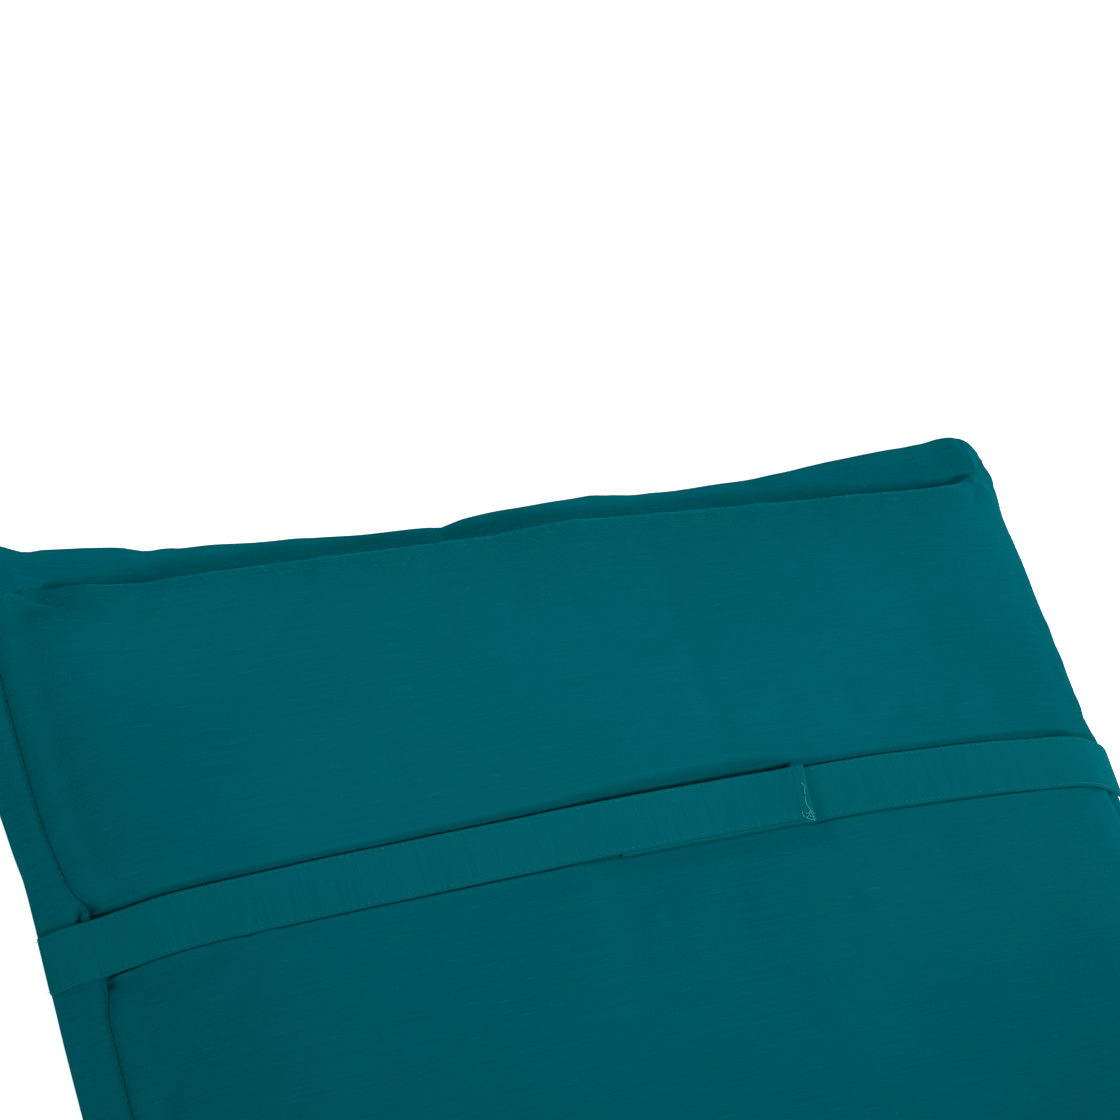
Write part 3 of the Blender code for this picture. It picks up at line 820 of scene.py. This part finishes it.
def woven_polyester(name, ground, slub):
    """Plain woven polyester with slub yarns: matt, soft, with thick places that catch the light.

    The threads are 0.5 mm apart on the real cloth, which is finer than the render shows, so the
    weave is drawn at 1.1 mm. Slubs are 10 to 25 mm long and under 1 mm thick, most of them across.
    """
    material = bpy.data.materials.new(name)
    material.use_nodes = True
    tree = material.node_tree
    shader = tree.nodes["Principled BSDF"]
    place = add_node(tree, "ShaderNodeUVMap", {"uv_map": UV_NAME}).outputs["UV"]

    def pattern(scale, detail, low, high, slant=0.0):
        """Noise stretched along one yarn, or slanted to it, kept only where it is strong."""
        turned = add_node(tree, "ShaderNodeMapping", inputs={"Vector": place, "Rotation": (0.0, 0.0, slant)})
        stretched = add_node(tree, "ShaderNodeMapping",
                             inputs={"Vector": turned.outputs["Vector"], "Scale": scale})
        field = add_node(tree, "ShaderNodeTexNoise", {"noise_dimensions": "2D"},
                         {"Vector": stretched.outputs["Vector"], "Scale": 1.0, "Detail": detail})
        return add_node(tree, "ShaderNodeMapRange", {"interpolation_type": "SMOOTHSTEP"},
                        {"Value": field.outputs["Fac"], "From Min": low, "From Max": high}).outputs["Result"]

    def math_node(operation, first, second):
        """Result of one sum on two values or sockets."""
        return add_node(tree, "ShaderNodeMath", {"operation": operation}, {0: first, 1: second}).outputs[0]

    slubs_across = pattern((1 / 0.015, 1 / 0.0009, 1.0), 1.0, 0.68, 0.82)
    slubs_along = pattern((1 / 0.0009, 1 / 0.012, 1.0), 1.0, 0.72, 0.84)
    slubs = math_node("MAXIMUM", slubs_across, math_node("MULTIPLY", slubs_along, 0.7))
    # Fine wrinkles by the ends' seams: bumped, and painted lighter in the slub colour as a painted highlight
    wrinkle_bump_and_highlight_share = add_node(tree, "ShaderNodeAttribute", {"attribute_name": WRINKLE_HIGHLIGHT_NAME}).outputs["Fac"]
    wrinkle_bumps_and_highlights = math_node("MULTIPLY", pattern((1 / 0.0013, 1 / 0.010, 1.0), 1.0, 0.66, 0.78, WRINKLE_SLANT), wrinkle_bump_and_highlight_share)
    slubs = math_node("MAXIMUM", slubs, math_node("MULTIPLY", wrinkle_bumps_and_highlights, 1.4))
    yarns = pattern((1 / 0.045, 1 / 0.0012, 1.0), 2.0, 0.25, 0.75)
    clouds = pattern((1 / 0.11, 1 / 0.11, 1.0), 3.0, 0.25, 0.75)
    split = add_node(tree, "ShaderNodeSeparateXYZ", inputs={"Vector": place})
    turns = 2 * math.pi / WEAVE_PITCH
    wave_x = math_node("SINE", math_node("MULTIPLY", split.outputs["X"], turns), 0.0)
    wave_y = math_node("SINE", math_node("MULTIPLY", split.outputs["Y"], turns), 0.0)
    weave = math_node("MULTIPLY", wave_x, wave_y)

    darker = [channel * 0.93 for channel in ground[:3]] + [1.0]
    lighter = [channel * 1.06 for channel in ground[:3]] + [1.0]
    tone = add_node(tree, "ShaderNodeMix", {"data_type": "RGBA"},
                    {"Factor": math_node("ADD", math_node("MULTIPLY", yarns, 0.45),
                                         math_node("MULTIPLY", clouds, 0.55)),
                     "A": darker, "B": lighter})
    coloured = add_node(tree, "ShaderNodeMix", {"data_type": "RGBA"},
                        {"Factor": math_node("MULTIPLY", slubs, 0.24),
                         "A": tone.outputs["Result"], "B": list(slub)})
    tree.links.new(coloured.outputs["Result"], shader.inputs["Base Color"])
    relief = math_node("ADD", math_node("MULTIPLY", slubs, 0.9),
                       math_node("ADD", math_node("MULTIPLY", yarns, 0.25),
                                 math_node("MULTIPLY", weave, 0.15)))
    bump = add_node(tree, "ShaderNodeBump", inputs={"Strength": 0.4, "Distance": 0.0003, "Height": relief})
    tree.links.new(bump.outputs["Normal"], shader.inputs["Normal"])
    shader.inputs["Roughness"].default_value = 0.92
    shader.inputs["Specular IOR Level"].default_value = 0.0
    shader.inputs["Sheen Weight"].default_value = 0.28
    shader.inputs["Sheen Roughness"].default_value = 0.3
    shader.inputs["Sheen Tint"].default_value = srgb("#00a4b4")
    return material


def sewing_thread(name, colour):
    """Spun polyester thread: a little smoother than the cloth, its tone uneven from stitch to stitch."""
    material = bpy.data.materials.new(name)
    material.use_nodes = True
    tree = material.node_tree
    shader = tree.nodes["Principled BSDF"]
    place = add_node(tree, "ShaderNodeTexCoord").outputs["Object"]
    field = add_node(tree, "ShaderNodeTexNoise", inputs={"Vector": place, "Scale": 900.0, "Detail": 1.0})
    tone = add_node(tree, "ShaderNodeMix", {"data_type": "RGBA"},
                    {"Factor": field.outputs["Fac"], "A": [c * 0.8 for c in colour[:3]] + [1.0],
                     "B": [c * 1.2 for c in colour[:3]] + [1.0]})
    tree.links.new(tone.outputs["Result"], shader.inputs["Base Color"])
    shader.inputs["Roughness"].default_value = 0.7
    shader.inputs["Specular IOR Level"].default_value = 0.12
    return material


def kept_material(name, make, *keys):
    """The material of that name, made once from the colours of those names in the panel."""
    colours = bpy.context.scene.cushion_colours
    return bpy.data.materials.get(name) or make(name, *[getattr(colours, key) for key in keys])


def cushion_form():
    """The cushion's shape at the sizes in the panel."""
    scene = bpy.context.scene
    return CushionForm(scene.cushion_sizes, scene.strap_sizes)


def cushion_faces(form):
    """Points of the back and the front panel, with gathers, waves and swell."""
    upper = to_metres(form, form.x, form.y, form.upper())
    lower = to_metres(form, form.x, form.y, form.lower())
    row_inset = form.inset(form.rows, form.head, form.length)[:, None]
    column_inset = form.inset(form.columns, form.side, form.width)[None, :]
    inside = np.minimum(row_inset, column_inset)
    calm = 0.1 + 0.9 * form.released()
    gathers = 0.0
    for place, inset, seed in ((form.x, row_inset, 3.7), (form.y, column_inset, 8.1)):
        slanted = place + GATHER_SLANT * inset
        field = ripple(slanted, inset + 0 * place, 10.0, 60.0, seed)
        broad = ripple(slanted, inset + 0 * place, 27.0, 90.0, seed + 1.6)
        near = fade(inset, 2.0, 36.0) * (1 - fade(inset, 0.0, 4.0))
        gathers = gathers + (field + 0.7 * broad) * near
    body = form.flange >= 1
    swell = form.swell * ripple(form.x, form.y, 95.0, 130.0, 1.3) * (1 - fade(inside, 10.0, 70.0))
    waves = form.wave * (1 - form.flange) * ripple(form.x, form.y, 27.0, 27.0, 5.9)
    lift = (form.pucker * gathers * body + swell) * calm + waves
    upper = upper + surface_normals(upper) * (lift * MM)[..., None]
    lower = lower + np.array([0.0, 0.0, MM]) * waves[..., None]
    edge = form.flange * form.side
    roundness = np.sqrt(np.clip(1 - (1 - np.clip(edge / 1.2, 0, 1)) ** 2, 0.04, 1))
    thinner = (1 - roundness) * form.pair / 2 * MM
    upper[..., 2] -= thinner
    lower[..., 2] += thinner
    lower[..., 2] = np.maximum(lower[..., 2], 0.0)
    return upper, lower


def resampled(field, old_rows, old_columns, rows, columns):
    """A field on one grid of places read at the places of another, straight between its points."""
    for axis, old, new in ((0, old_rows, rows), (1, old_columns, columns)):
        first = np.clip(np.searchsorted(old, new) - 1, 0, len(old) - 2)
        share = np.clip((new - old[first]) / (old[first + 1] - old[first]), 0.0, 1.0)
        share = share.reshape((-1, 1, 1) if axis == 0 else (1, -1, 1))
        field = np.take(field, first, axis) * (1 - share) + np.take(field, first + 1, axis) * share
    return field


def smoothed(field, passes):
    """A field averaged with its neighbours again and again, its border kept."""
    for _ in range(passes):
        inner = (field[1:-1, 1:-1] * 4 + field[:-2, 1:-1] + field[2:, 1:-1]
                 + field[1:-1, :-2] + field[1:-1, 2:])
        field = field.copy()
        field[1:-1, 1:-1] = inner / 8
    return field


def inflated(points, held):
    """Where the points of a cloth panel come to rest when the padding presses it outwards."""
    rows, columns = points.shape[:2]
    mesh = bpy.data.meshes.new("panel_cloth")
    mesh.from_pydata(points.reshape(-1, 3).tolist(), [], grid_faces(rows, columns, 0, False).tolist())
    panel = bpy.data.objects.new("panel_cloth", mesh)
    scene = bpy.context.scene
    scene.collection.objects.link(panel)
    pins = panel.vertex_groups.new(name="held")
    pins.add(np.flatnonzero(held.ravel()).tolist(), 1.0, "REPLACE")
    cloth = panel.modifiers.new("cloth", "CLOTH")
    settings = cloth.settings
    settings.vertex_group_mass = pins.name
    for key, value in CLOTH_SETTINGS.items():
        setattr(settings, key, value)
    settings.effector_weights.gravity = 0.0
    cloth.point_cache.frame_start = 1
    cloth.point_cache.frame_end = SETTLE_FRAMES
    for frame_number in range(1, SETTLE_FRAMES + 1):
        scene.frame_set(frame_number)
    settled = panel.evaluated_get(bpy.context.evaluated_depsgraph_get()).data
    places = np.zeros(rows * columns * 3, dtype=np.float32)
    settled.vertices.foreach_get("co", places)
    bpy.data.objects.remove(panel)
    bpy.data.meshes.remove(mesh)
    scene.frame_set(1)
    return places.reshape(rows, columns, 3).astype(float)


def wrinkles(form, upper):
    """Fine movement of the back panel's cloth from its simulation, without the broad swelling."""
    seam_across = form.width / 2 - form.side
    across = np.linspace(-seam_across, seam_across, 91)
    close_rows = np.linspace(form.head, 560.0, 88)
    wide_rows = np.linspace(575.0, form.length - form.head, 74)
    along = np.concatenate([close_rows, wide_rows])
    panel = resampled(upper, form.along, form.across, along, across)
    free = resampled(form.released()[..., None], form.along, form.across, along, across)[..., 0]
    held = free < HELD_BELOW
    held[[0, -1]] = True
    held[:, [0, -1]] = True
    move = inflated(panel, held) - panel
    fine = move - smoothed(move, SMOOTHING_PASSES)
    size = np.linalg.norm(fine, axis=-1, keepdims=True)
    fine = fine * np.minimum(1.0, WRINKLE_LIMIT * MM / np.maximum(size, 1e-9))
    return resampled(fine, along, across, form.along, form.across) * (form.flange >= 1)[..., None]


class CUSHION_OT_body(bpy.types.Operator):
    """Build the filled body with its two panels and flange"""

    bl_idname = "cushion.body"
    bl_label = "Filled body"

    def execute(self, context):
        form = cushion_form()
        upper, lower = cushion_faces(form)
        upper = upper + wrinkles(form, upper)
        mesh = mesh_of_two_faces("cushion_body", upper, lower)
        # Where the fine wrinkles by the ends' seams get bump and a painted highlight in the cover's colour
        wrinkle_bump_and_highlight_share = (1 - fade(form.inset_ends(), 1.0, 5.0)) * fade(form.inset_ends(), 9.0, 26.0)
        wrinkle_bump_and_highlight_share = wrinkle_bump_and_highlight_share * (form.flange >= 1)
        wrinkle_bumps_and_highlights = mesh.attributes.new(WRINKLE_HIGHLIGHT_NAME, "FLOAT", "POINT")
        strength = np.concatenate([wrinkle_bump_and_highlight_share.ravel(), 0 * wrinkle_bump_and_highlight_share.ravel()])
        wrinkle_bumps_and_highlights.data.foreach_set("value", strength.astype(np.float32))
        cloth = kept_material("cover_slub_polyester", woven_polyester, "cover", "slub")
        piece = add_piece("cushion_body", mesh, cloth)
        declare(piece)
        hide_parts("cushion")
        return {"FINISHED"}


def surface_line(form):
    """The back panel along the strap's middle: places across and heights, in millimetres."""
    row = int(np.argmin(np.abs(form.along - (form.strap_from + form.strap_to) / 2)))
    upper = form.upper()[row]
    return np.stack([form.x[row], upper], axis=-1)


def lifted(line, rise):
    """A line moved away from the surface it lies on, square to it."""
    step = np.gradient(line, axis=0)
    step = step / np.linalg.norm(step, axis=1, keepdims=True)
    return line + np.stack([-step[:, 1], step[:, 0]], axis=-1) * rise


def taut(line):
    """The line as a taut strap takes it: straight over each hollow."""
    kept = []
    for point in line:
        while len(kept) > 1:
            before, middle = kept[-2], kept[-1]
            run = (middle[0] - before[0]) * (point[1] - before[1])
            if run < (middle[1] - before[1]) * (point[0] - before[0]):
                break
            kept.pop()
        kept.append(point)
    return np.array(kept)


def spaced(line, start, stop, pitch):
    """The stretch of a line between two places across, with points at an even pitch."""
    count = max(int(round((stop - start) / pitch)), 2)
    place = np.linspace(start, stop, count + 1)
    height = np.interp(place, line[:, 0], line[:, 1])
    for _ in range(3):
        height[1:-1] = (height[:-2] + 2 * height[1:-1] + height[2:]) / 4
    return np.stack([place, height], axis=-1)


def strap_lines(form, strap):
    """Undersides of the two straps: the right one on the cushion, the left one over its end."""
    thickness = strap.thickness / MM
    surface = lifted(surface_line(form), STRAP_REST_GAP)
    left_seam = int(np.argmax(form.columns.near >= 1))
    resting = np.concatenate([taut(surface[:left_seam + 1]), taut(surface[left_seam:])[1:]])
    left_stop = strap.left_end / MM
    right_start = strap.right_end / MM
    right = spaced(resting, right_start, resting[-1, 0], STRAP_PITCH)
    over = lifted(right, thickness + STRAP_REST_GAP)
    before = resting[resting[:, 0] < right_start - STRAP_STEP]
    sewn = int(np.argmin(np.abs(before[:, 0] - surface[left_seam, 0])))
    left = np.concatenate([before[:sewn], taut(np.concatenate([before[sewn:], over]))])
    left = spaced(left, resting[0, 0], left_stop, STRAP_PITCH)
    left[:, 1] += END_LIFT * (1 - fade(left[:, 0], left_stop - END_LIFT_REACH, left_stop))
    right[:, 1] -= END_DIP * np.exp(-((right[:, 0] - left_stop - END_DIP_PLACE) / END_DIP_REACH) ** 2)
    return left, right


def strap_faces(form, strap, line, seed, slant, trim):
    """Upper and lower points of a strap along a line, with turned edges and topstitch grooves."""
    thickness = strap.thickness / MM
    width = strap.width / MM - trim
    inset = bpy.context.scene.sewing_sizes.inset / MM
    half = np.array([0.0, 0.15, 0.45, 0.8, inset - 0.5, inset, inset + 0.6, inset + 1.4,
                     5.0, 7.0, 9.5, 12.0])
    across = np.concatenate([half, [width / 2], width - half[::-1]])
    from_edge = np.minimum(across, width - across)
    round_edge = np.sqrt(np.clip(1 - (1 - np.clip(from_edge / STRAP_ROUND, 0, 1)) ** 2, 0.06, 1))
    groove = STITCH_GROOVE * np.exp(-((from_edge - inset) / STITCH_GROOVE_REACH) ** 2)
    thick = thickness * round_edge - groove
    high = lifted(line, 1.0) - line
    run = run_lengths(line)
    count = len(line)
    grid_run = np.tile(run[:, None], (1, len(across)))
    grid_across = np.tile(across, (count, 1))
    wander = EDGE_WANDER * ripple(grid_run, grid_across * 0, 46.0, 1.0, seed)
    pucker = STRAP_PUCKER * ripple(grid_run, grid_across, 7.0, 14.0, seed + 2.0)
    ends = fade(np.minimum(grid_run, run[-1] - grid_run), 0.0, 6.0)
    far_end = 1 - fade(grid_run, run[-1] - END_SLANT_REACH, run[-1])
    base_x = line[:, 0][:, None] + slant * far_end * (grid_across / width - 0.5)
    along = form.strap_from + grid_across + wander * (1 - ends)
    top = thick[None, :] + pucker * round_edge
    bottom = ((1 - round_edge) * thickness * 0.2)[None, :]
    faces = []
    for level in (top, bottom):
        x = base_x + high[:, 0][:, None] * level
        z = line[:, 1][:, None] + high[:, 1][:, None] * level
        points = to_metres(form, x, along, z)
        faces.append(np.transpose(points, (1, 0, 2)))
    return faces


def strap_piece(name, node, line, seed, slant, trim, rests_on):
    """One half of the strap as a closed sheet."""
    scene = bpy.context.scene
    form = cushion_form()
    upper, lower = strap_faces(form, scene.strap_sizes, line, seed, slant, trim)
    cloth = kept_material("strap_slub_polyester", woven_polyester, "strap", "slub")
    piece = add_piece(name, mesh_of_two_faces(name, upper, lower, turned=True), cloth)
    declare(piece)
    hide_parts(node)
    return piece


class CUSHION_OT_straps(bpy.types.Operator):
    """Build the two halves of the fixing strap"""

    bl_idname = "cushion.straps"
    bl_label = "Fixing strap"

    def execute(self, context):
        left, right = strap_lines(cushion_form(), context.scene.strap_sizes)
        strap_piece("fixing_strap_right", "strap_right", right, *RIGHT_HALF, ["cushion_body"])
        strap_piece("fixing_strap_left", "strap_left", left, *LEFT_HALF,
                    ["cushion_body", "fixing_strap_right"])
        return {"FINISHED"}


def path_object(name, runs):
    """Loose edges along one or more runs of points, each point with its face's upward direction."""
    points = []
    edges = []
    ups = []
    for places, normals, closed in runs:
        first = len(points)
        points += [tuple(place) for place in places]
        ups += [tuple(normal) for normal in normals]
        edges += [(first + k, first + k + 1) for k in range(len(places) - 1)]
        if closed:
            edges.append((first + len(places) - 1, first))
    mesh = bpy.data.meshes.new(name)
    mesh.from_pydata(points, edges, [])
    attribute = mesh.attributes.new(UP_NAME, "FLOAT_VECTOR", "POINT")
    attribute.data.foreach_set("vector", np.array(ups, dtype=np.float32).ravel())
    piece = bpy.data.objects.new(name, mesh)
    bpy.context.scene.collection.objects.link(piece)
    return piece


def stitch_tree():
    """Geometry Nodes that lay stitches at an even pitch along a path of edges."""
    found = bpy.data.node_groups.get("stitches_along_path")
    if found:
        return found
    tree = bpy.data.node_groups.new("stitches_along_path", "GeometryNodeTree")
    tree.interface.new_socket("Path", in_out="INPUT", socket_type="NodeSocketGeometry")
    for label in ("Pitch", "Stitch length", "Thread"):
        tree.interface.new_socket(label, in_out="INPUT", socket_type="NodeSocketFloat")
    tree.interface.new_socket("Material", in_out="INPUT", socket_type="NodeSocketMaterial")
    tree.interface.new_socket("Stitches", in_out="OUTPUT", socket_type="NodeSocketGeometry")
    given = add_node(tree, "NodeGroupInput").outputs
    curve = add_node(tree, "GeometryNodeMeshToCurve", inputs={"Mesh": given["Path"]})
    even = add_node(tree, "GeometryNodeResampleCurve", {"mode": "LENGTH"},
                    {"Curve": curve.outputs["Curve"], "Length": given["Pitch"]})
    ball = add_node(tree, "GeometryNodeMeshUVSphere", inputs={"Segments": 6, "Rings": 4, "Radius": 0.5})
    size = add_node(tree, "ShaderNodeCombineXYZ",
                    inputs={"X": given["Stitch length"], "Y": given["Thread"], "Z": given["Thread"]})
    stitch = add_node(tree, "GeometryNodeTransform",
                      inputs={"Geometry": ball.outputs["Mesh"], "Scale": size.outputs["Vector"]})
    tangent = add_node(tree, "GeometryNodeInputTangent")
    upward = add_node(tree, "GeometryNodeInputNamedAttribute", {"data_type": "FLOAT_VECTOR"},
                      {"Name": UP_NAME})
    forward = add_node(tree, "FunctionNodeAlignRotationToVector", {"axis": "X"},
                       {"Vector": tangent.outputs["Tangent"]})
    turned = add_node(tree, "FunctionNodeAlignRotationToVector", {"axis": "Z", "pivot_axis": "X"},
                      {"Rotation": forward.outputs["Rotation"], "Vector": upward.outputs["Attribute"]})
    laid = add_node(tree, "GeometryNodeInstanceOnPoints",
                    inputs={"Points": even.outputs["Curve"], "Instance": stitch.outputs["Geometry"],
                            "Rotation": turned.outputs["Rotation"]})
    real = add_node(tree, "GeometryNodeRealizeInstances", inputs={"Geometry": laid.outputs["Instances"]})
    dyed = add_node(tree, "GeometryNodeSetMaterial",
                    inputs={"Geometry": real.outputs["Geometry"], "Material": given["Material"]})
    add_node(tree, "NodeGroupOutput", inputs={"Stitches": dyed.outputs["Geometry"]})
    return tree


def sew(name, runs, pitch, stitch, thickness, material):
    """Stitches along runs of points, as one plain mesh."""
    tree = stitch_tree()
    path = path_object(name + "_path", runs)
    modifier = path.modifiers.new("stitches", "NODES")
    modifier.node_group = tree
    values = {"Pitch": pitch, "Stitch length": stitch, "Thread": thickness, "Material": material}
    for item in tree.interface.items_tree:
        if item.in_out == "INPUT" and item.name in values:
            modifier[item.identifier] = values[item.name]
    graph = bpy.context.evaluated_depsgraph_get()
    mesh = bpy.data.meshes.new_from_object(path.evaluated_get(graph))
    mesh.name = name
    path_mesh = path.data
    bpy.data.objects.remove(path)
    bpy.data.meshes.remove(path_mesh)
    mesh.polygons.foreach_set("use_smooth", [True] * len(mesh.polygons))
    piece = add_piece(name, mesh, material)
    declare(piece)
    return piece


def seam_run(form, points, rise):
    """The seam once round on one face of the cushion, lifted off the cloth."""
    top = int(np.argmax(form.rows.near >= 1))
    bottom = len(form.along) - 1 - int(np.argmax(form.rows.far[::-1] >= 1))
    left = int(np.argmax(form.columns.near >= 1))
    right = len(form.across) - 1 - int(np.argmax(form.columns.far[::-1] >= 1))
    normals = surface_normals(points)
    ring = ([(top, column) for column in range(left, right)]
            + [(row, right) for row in range(top, bottom)]
            + [(bottom, column) for column in range(right, left, -1)]
            + [(row, left) for row in range(bottom, top, -1)])
    rows = [place[0] for place in ring]
    columns = [place[1] for place in ring]
    facing = normals[rows, columns]
    facing = facing * np.sign(facing[:, 2:3]) * np.sign(rise)
    return points[rows, columns] + facing * abs(rise), facing, True


class CUSHION_OT_seam(bpy.types.Operator):
    """Sew the panels together along the inner edge of the flange"""

    bl_idname = "cushion.seam"
    bl_label = "Seam stitches"

    def execute(self, context):
        """Lay stitches on both faces."""
        sewing = context.scene.sewing_sizes
        form = cushion_form()
        upper, lower = cushion_faces(form)
        rise = sewing.thread * 0.15
        sunk = kept_material("polyester_seam_thread", sewing_thread, "sunk")
        for name, points, side in (("seam_stitches_back", upper, 1), ("seam_stitches_front", lower, -1)):
            sew(name, [seam_run(form, points, side * rise)],
                sewing.pitch, sewing.stitch, sewing.thread, sunk)
        return {"FINISHED"}


def frayed_thread(upper, fray):
    """A loose end of thread that lies on the strap's end and curls off it."""
    steps = np.linspace(0.0, 1.0, 24)
    row = fray.across * (upper.shape[0] - 1)
    near = upper[int(row), -2]
    x = fray.start + (fray.stop - fray.start) * steps + fray.curl * np.sin(steps * math.pi * 1.6)
    along = fray.slide * steps + fray.curl * np.cos(steps * math.pi * 1.3)
    height = 0.35 + 1.1 * np.sin(steps * math.pi) * fray.curl / 2
    points = near + np.stack([x, -along, height], axis=-1) * MM
    return points, np.tile((0.0, 0.0, 1.0), (len(points), 1)), False


class CUSHION_OT_topstitch(bpy.types.Operator):
    """Topstitch the edges of the strap and sew its outer ends down"""

    bl_idname = "cushion.topstitch"
    bl_label = "Strap stitches"

    def execute(self, context):
        """Lay stitches along both edges of each half."""
        scene = context.scene
        sewing = scene.sewing_sizes
        form = cushion_form()
        left, right = strap_lines(form, scene.strap_sizes)
        rise = sewing.thread * 0.1
        thread = kept_material("polyester_thread", sewing_thread, "thread")
        halves = (("topstitch_right", right, RIGHT_HALF), ("topstitch_left", left, LEFT_HALF))
        for name, line, half in halves:
            upper, _ = strap_faces(form, scene.strap_sizes, line, *half)
            normals = surface_normals(upper)
            normals = normals * np.sign(normals[..., 2:3])
            lifted_up = upper + normals * rise
            runs = [(lifted_up[row], normals[row], False) for row in (TOPSTITCH_ROW, -1 - TOPSTITCH_ROW)]
            sewn = int(np.argmin(np.abs(np.abs(line[:, 0]) - SEWN_DOWN)))
            runs.append((lifted_up[:, sewn], normals[:, sewn], False))
            sew(name, runs, sewing.pitch, sewing.stitch, sewing.thread * 0.75, thread)
        upper, _ = strap_faces(form, scene.strap_sizes, left, *LEFT_HALF)
        runs = [frayed_thread(upper, fray) for fray in FRAYS]
        fray = sewing.thread * 1.3
        loose = kept_material("frayed_polyester_thread", sewing_thread, "frayed")
        sew("frayed_threads", runs, fray, fray * 2.2, fray, loose)
        return {"FINISHED"}


def look_from(stage):
    """Turn of a camera that stands at an azimuth and elevation, with its roll."""
    back = Vector((math.sin(stage.azimuth) * math.cos(stage.elevation),
                   -math.cos(stage.azimuth) * math.cos(stage.elevation), math.sin(stage.elevation)))
    right = Vector((0, 0, 1)).cross(back).normalized()
    up = back.cross(right)
    level = Matrix((right, up, back)).transposed()
    return (level @ Matrix.Rotation(stage.roll, 3, "Z")).to_4x4()


def add_softbox(box):
    """Square area light that faces a point, itself unseen by the camera."""
    light = bpy.data.lights.new(box.name, "AREA")
    light.shape = "SQUARE"
    light.spread = math.radians(box.spread)
    light.size = box.size
    light.energy = box.power
    lamp = bpy.data.objects.new(box.name, light)
    lamp.visible_camera = False
    lamp.location = box.place
    towards = Vector(box.place) - Vector(box.target)
    lamp.rotation_euler = towards.to_track_quat("Z", "Y").to_euler()
    bpy.context.scene.collection.objects.link(lamp)


class CUSHION_OT_stage(bpy.types.Operator):
    """Set up the floor, the soft light and the camera"""

    bl_idname = "cushion.stage"
    bl_label = "Stage"

    def execute(self, context):
        """Make floor, lights, world and camera."""
        scene = context.scene
        stage = scene.stage_sizes
        mesh = bpy.data.meshes.new("floor")
        corners = [(across * FLOOR_HALF, along * FLOOR_HALF, FLOOR_LEVEL)
                   for across, along in ((-1, -1), (1, -1), (1, 1), (-1, 1))]
        mesh.from_pydata(corners, [], [(0, 1, 2, 3)])
        material = bpy.data.materials.new("matt_white_floor")
        material.use_nodes = True
        tree = material.node_tree
        shader = tree.nodes["Principled BSDF"]
        place = add_node(tree, "ShaderNodeTexCoord").outputs["Object"]
        field = add_node(tree, "ShaderNodeTexNoise", inputs={"Vector": place, "Scale": 3.0})
        tone = add_node(tree, "ShaderNodeMix", {"data_type": "RGBA"},
                        {"Factor": field.outputs["Fac"], "A": list(stage.floor), "B": srgb("#ffffff")})
        tree.links.new(tone.outputs["Result"], shader.inputs["Base Color"])
        shader.inputs["Roughness"].default_value = 0.95
        shader.inputs["Specular IOR Level"].default_value = 0.1
        shader.inputs["Emission Color"].default_value = (1, 1, 1, 1)
        shader.inputs["Emission Strength"].default_value = FLOOR_GLOW
        add_piece("floor", mesh, material)

        world = bpy.data.worlds.new("soft_white_room")
        world.use_nodes = True
        background = world.node_tree.nodes["Background"]
        background.inputs["Color"].default_value = (1, 1, 1, 1)
        background.inputs["Strength"].default_value = ROOM_LIGHT
        scene.world = world
        for box in SOFTBOXES:
            add_softbox(box)

        camera = bpy.data.cameras.new("photo_view")
        camera.lens = stage.focal
        camera.sensor_width = 36.0
        camera.clip_start = 0.05
        eye = bpy.data.objects.new("photo_view", camera)
        eye.matrix_world = Matrix.Translation(stage.camera_place) @ look_from(stage)
        scene.collection.objects.link(eye)
        scene.camera = eye
        scene.view_settings.view_transform = "Standard"
        return {"FINISHED"}


class CUSHION_PT_panel(bpy.types.Panel):
    """Buttons and sizes of the lounger cushion"""

    bl_idname = "CUSHION_PT_panel"
    bl_label = "Sun lounger cushion"
    bl_space_type = "VIEW_3D"
    bl_region_type = "UI"
    bl_category = "Cushion"

    def draw(self, context):
        """List sizes, colours and operators."""
        for name, group, _ in SETTINGS:
            box = self.layout.box()
            box.label(text=group.__doc__.strip("."))
            for key in group.__annotations__:
                box.prop(getattr(context.scene, name), key)
        for operator in OPERATORS:
            self.layout.operator(operator.bl_idname)


SETTINGS = (
    ("cushion_sizes", CushionSizes, "Cushion"),
    ("strap_sizes", StrapSizes, "Strap"),
    ("sewing_sizes", SewingSizes, "Sewing"),
    ("cushion_colours", ClothColours, "Colours"),
    ("stage_sizes", StageSizes, "Stage"),
)
OPERATORS = (
    CUSHION_OT_body, CUSHION_OT_straps, CUSHION_OT_seam, CUSHION_OT_topstitch, CUSHION_OT_stage)


def register():
    """Register the classes and hang the settings on the scene."""
    for name, group, label in SETTINGS:
        bpy.utils.register_class(group)
        setattr(bpy.types.Scene, name, bpy.props.PointerProperty(type=group, name=label))
    for item in OPERATORS + (CUSHION_PT_panel,):
        bpy.utils.register_class(item)


def unregister():
    """Undo register."""
    for item in reversed(OPERATORS + (CUSHION_PT_panel,)):
        bpy.utils.unregister_class(item)
    for name, group, _ in reversed(SETTINGS):
        delattr(bpy.types.Scene, name)
        bpy.utils.unregister_class(group)


def main():
    """Build every piece."""
    register()
    bpy.ops.cushion.body()
    bpy.ops.cushion.straps()
    bpy.ops.cushion.seam()
    bpy.ops.cushion.topstitch()
    bpy.ops.cushion.stage()


if __name__ == "__main__":
    main()
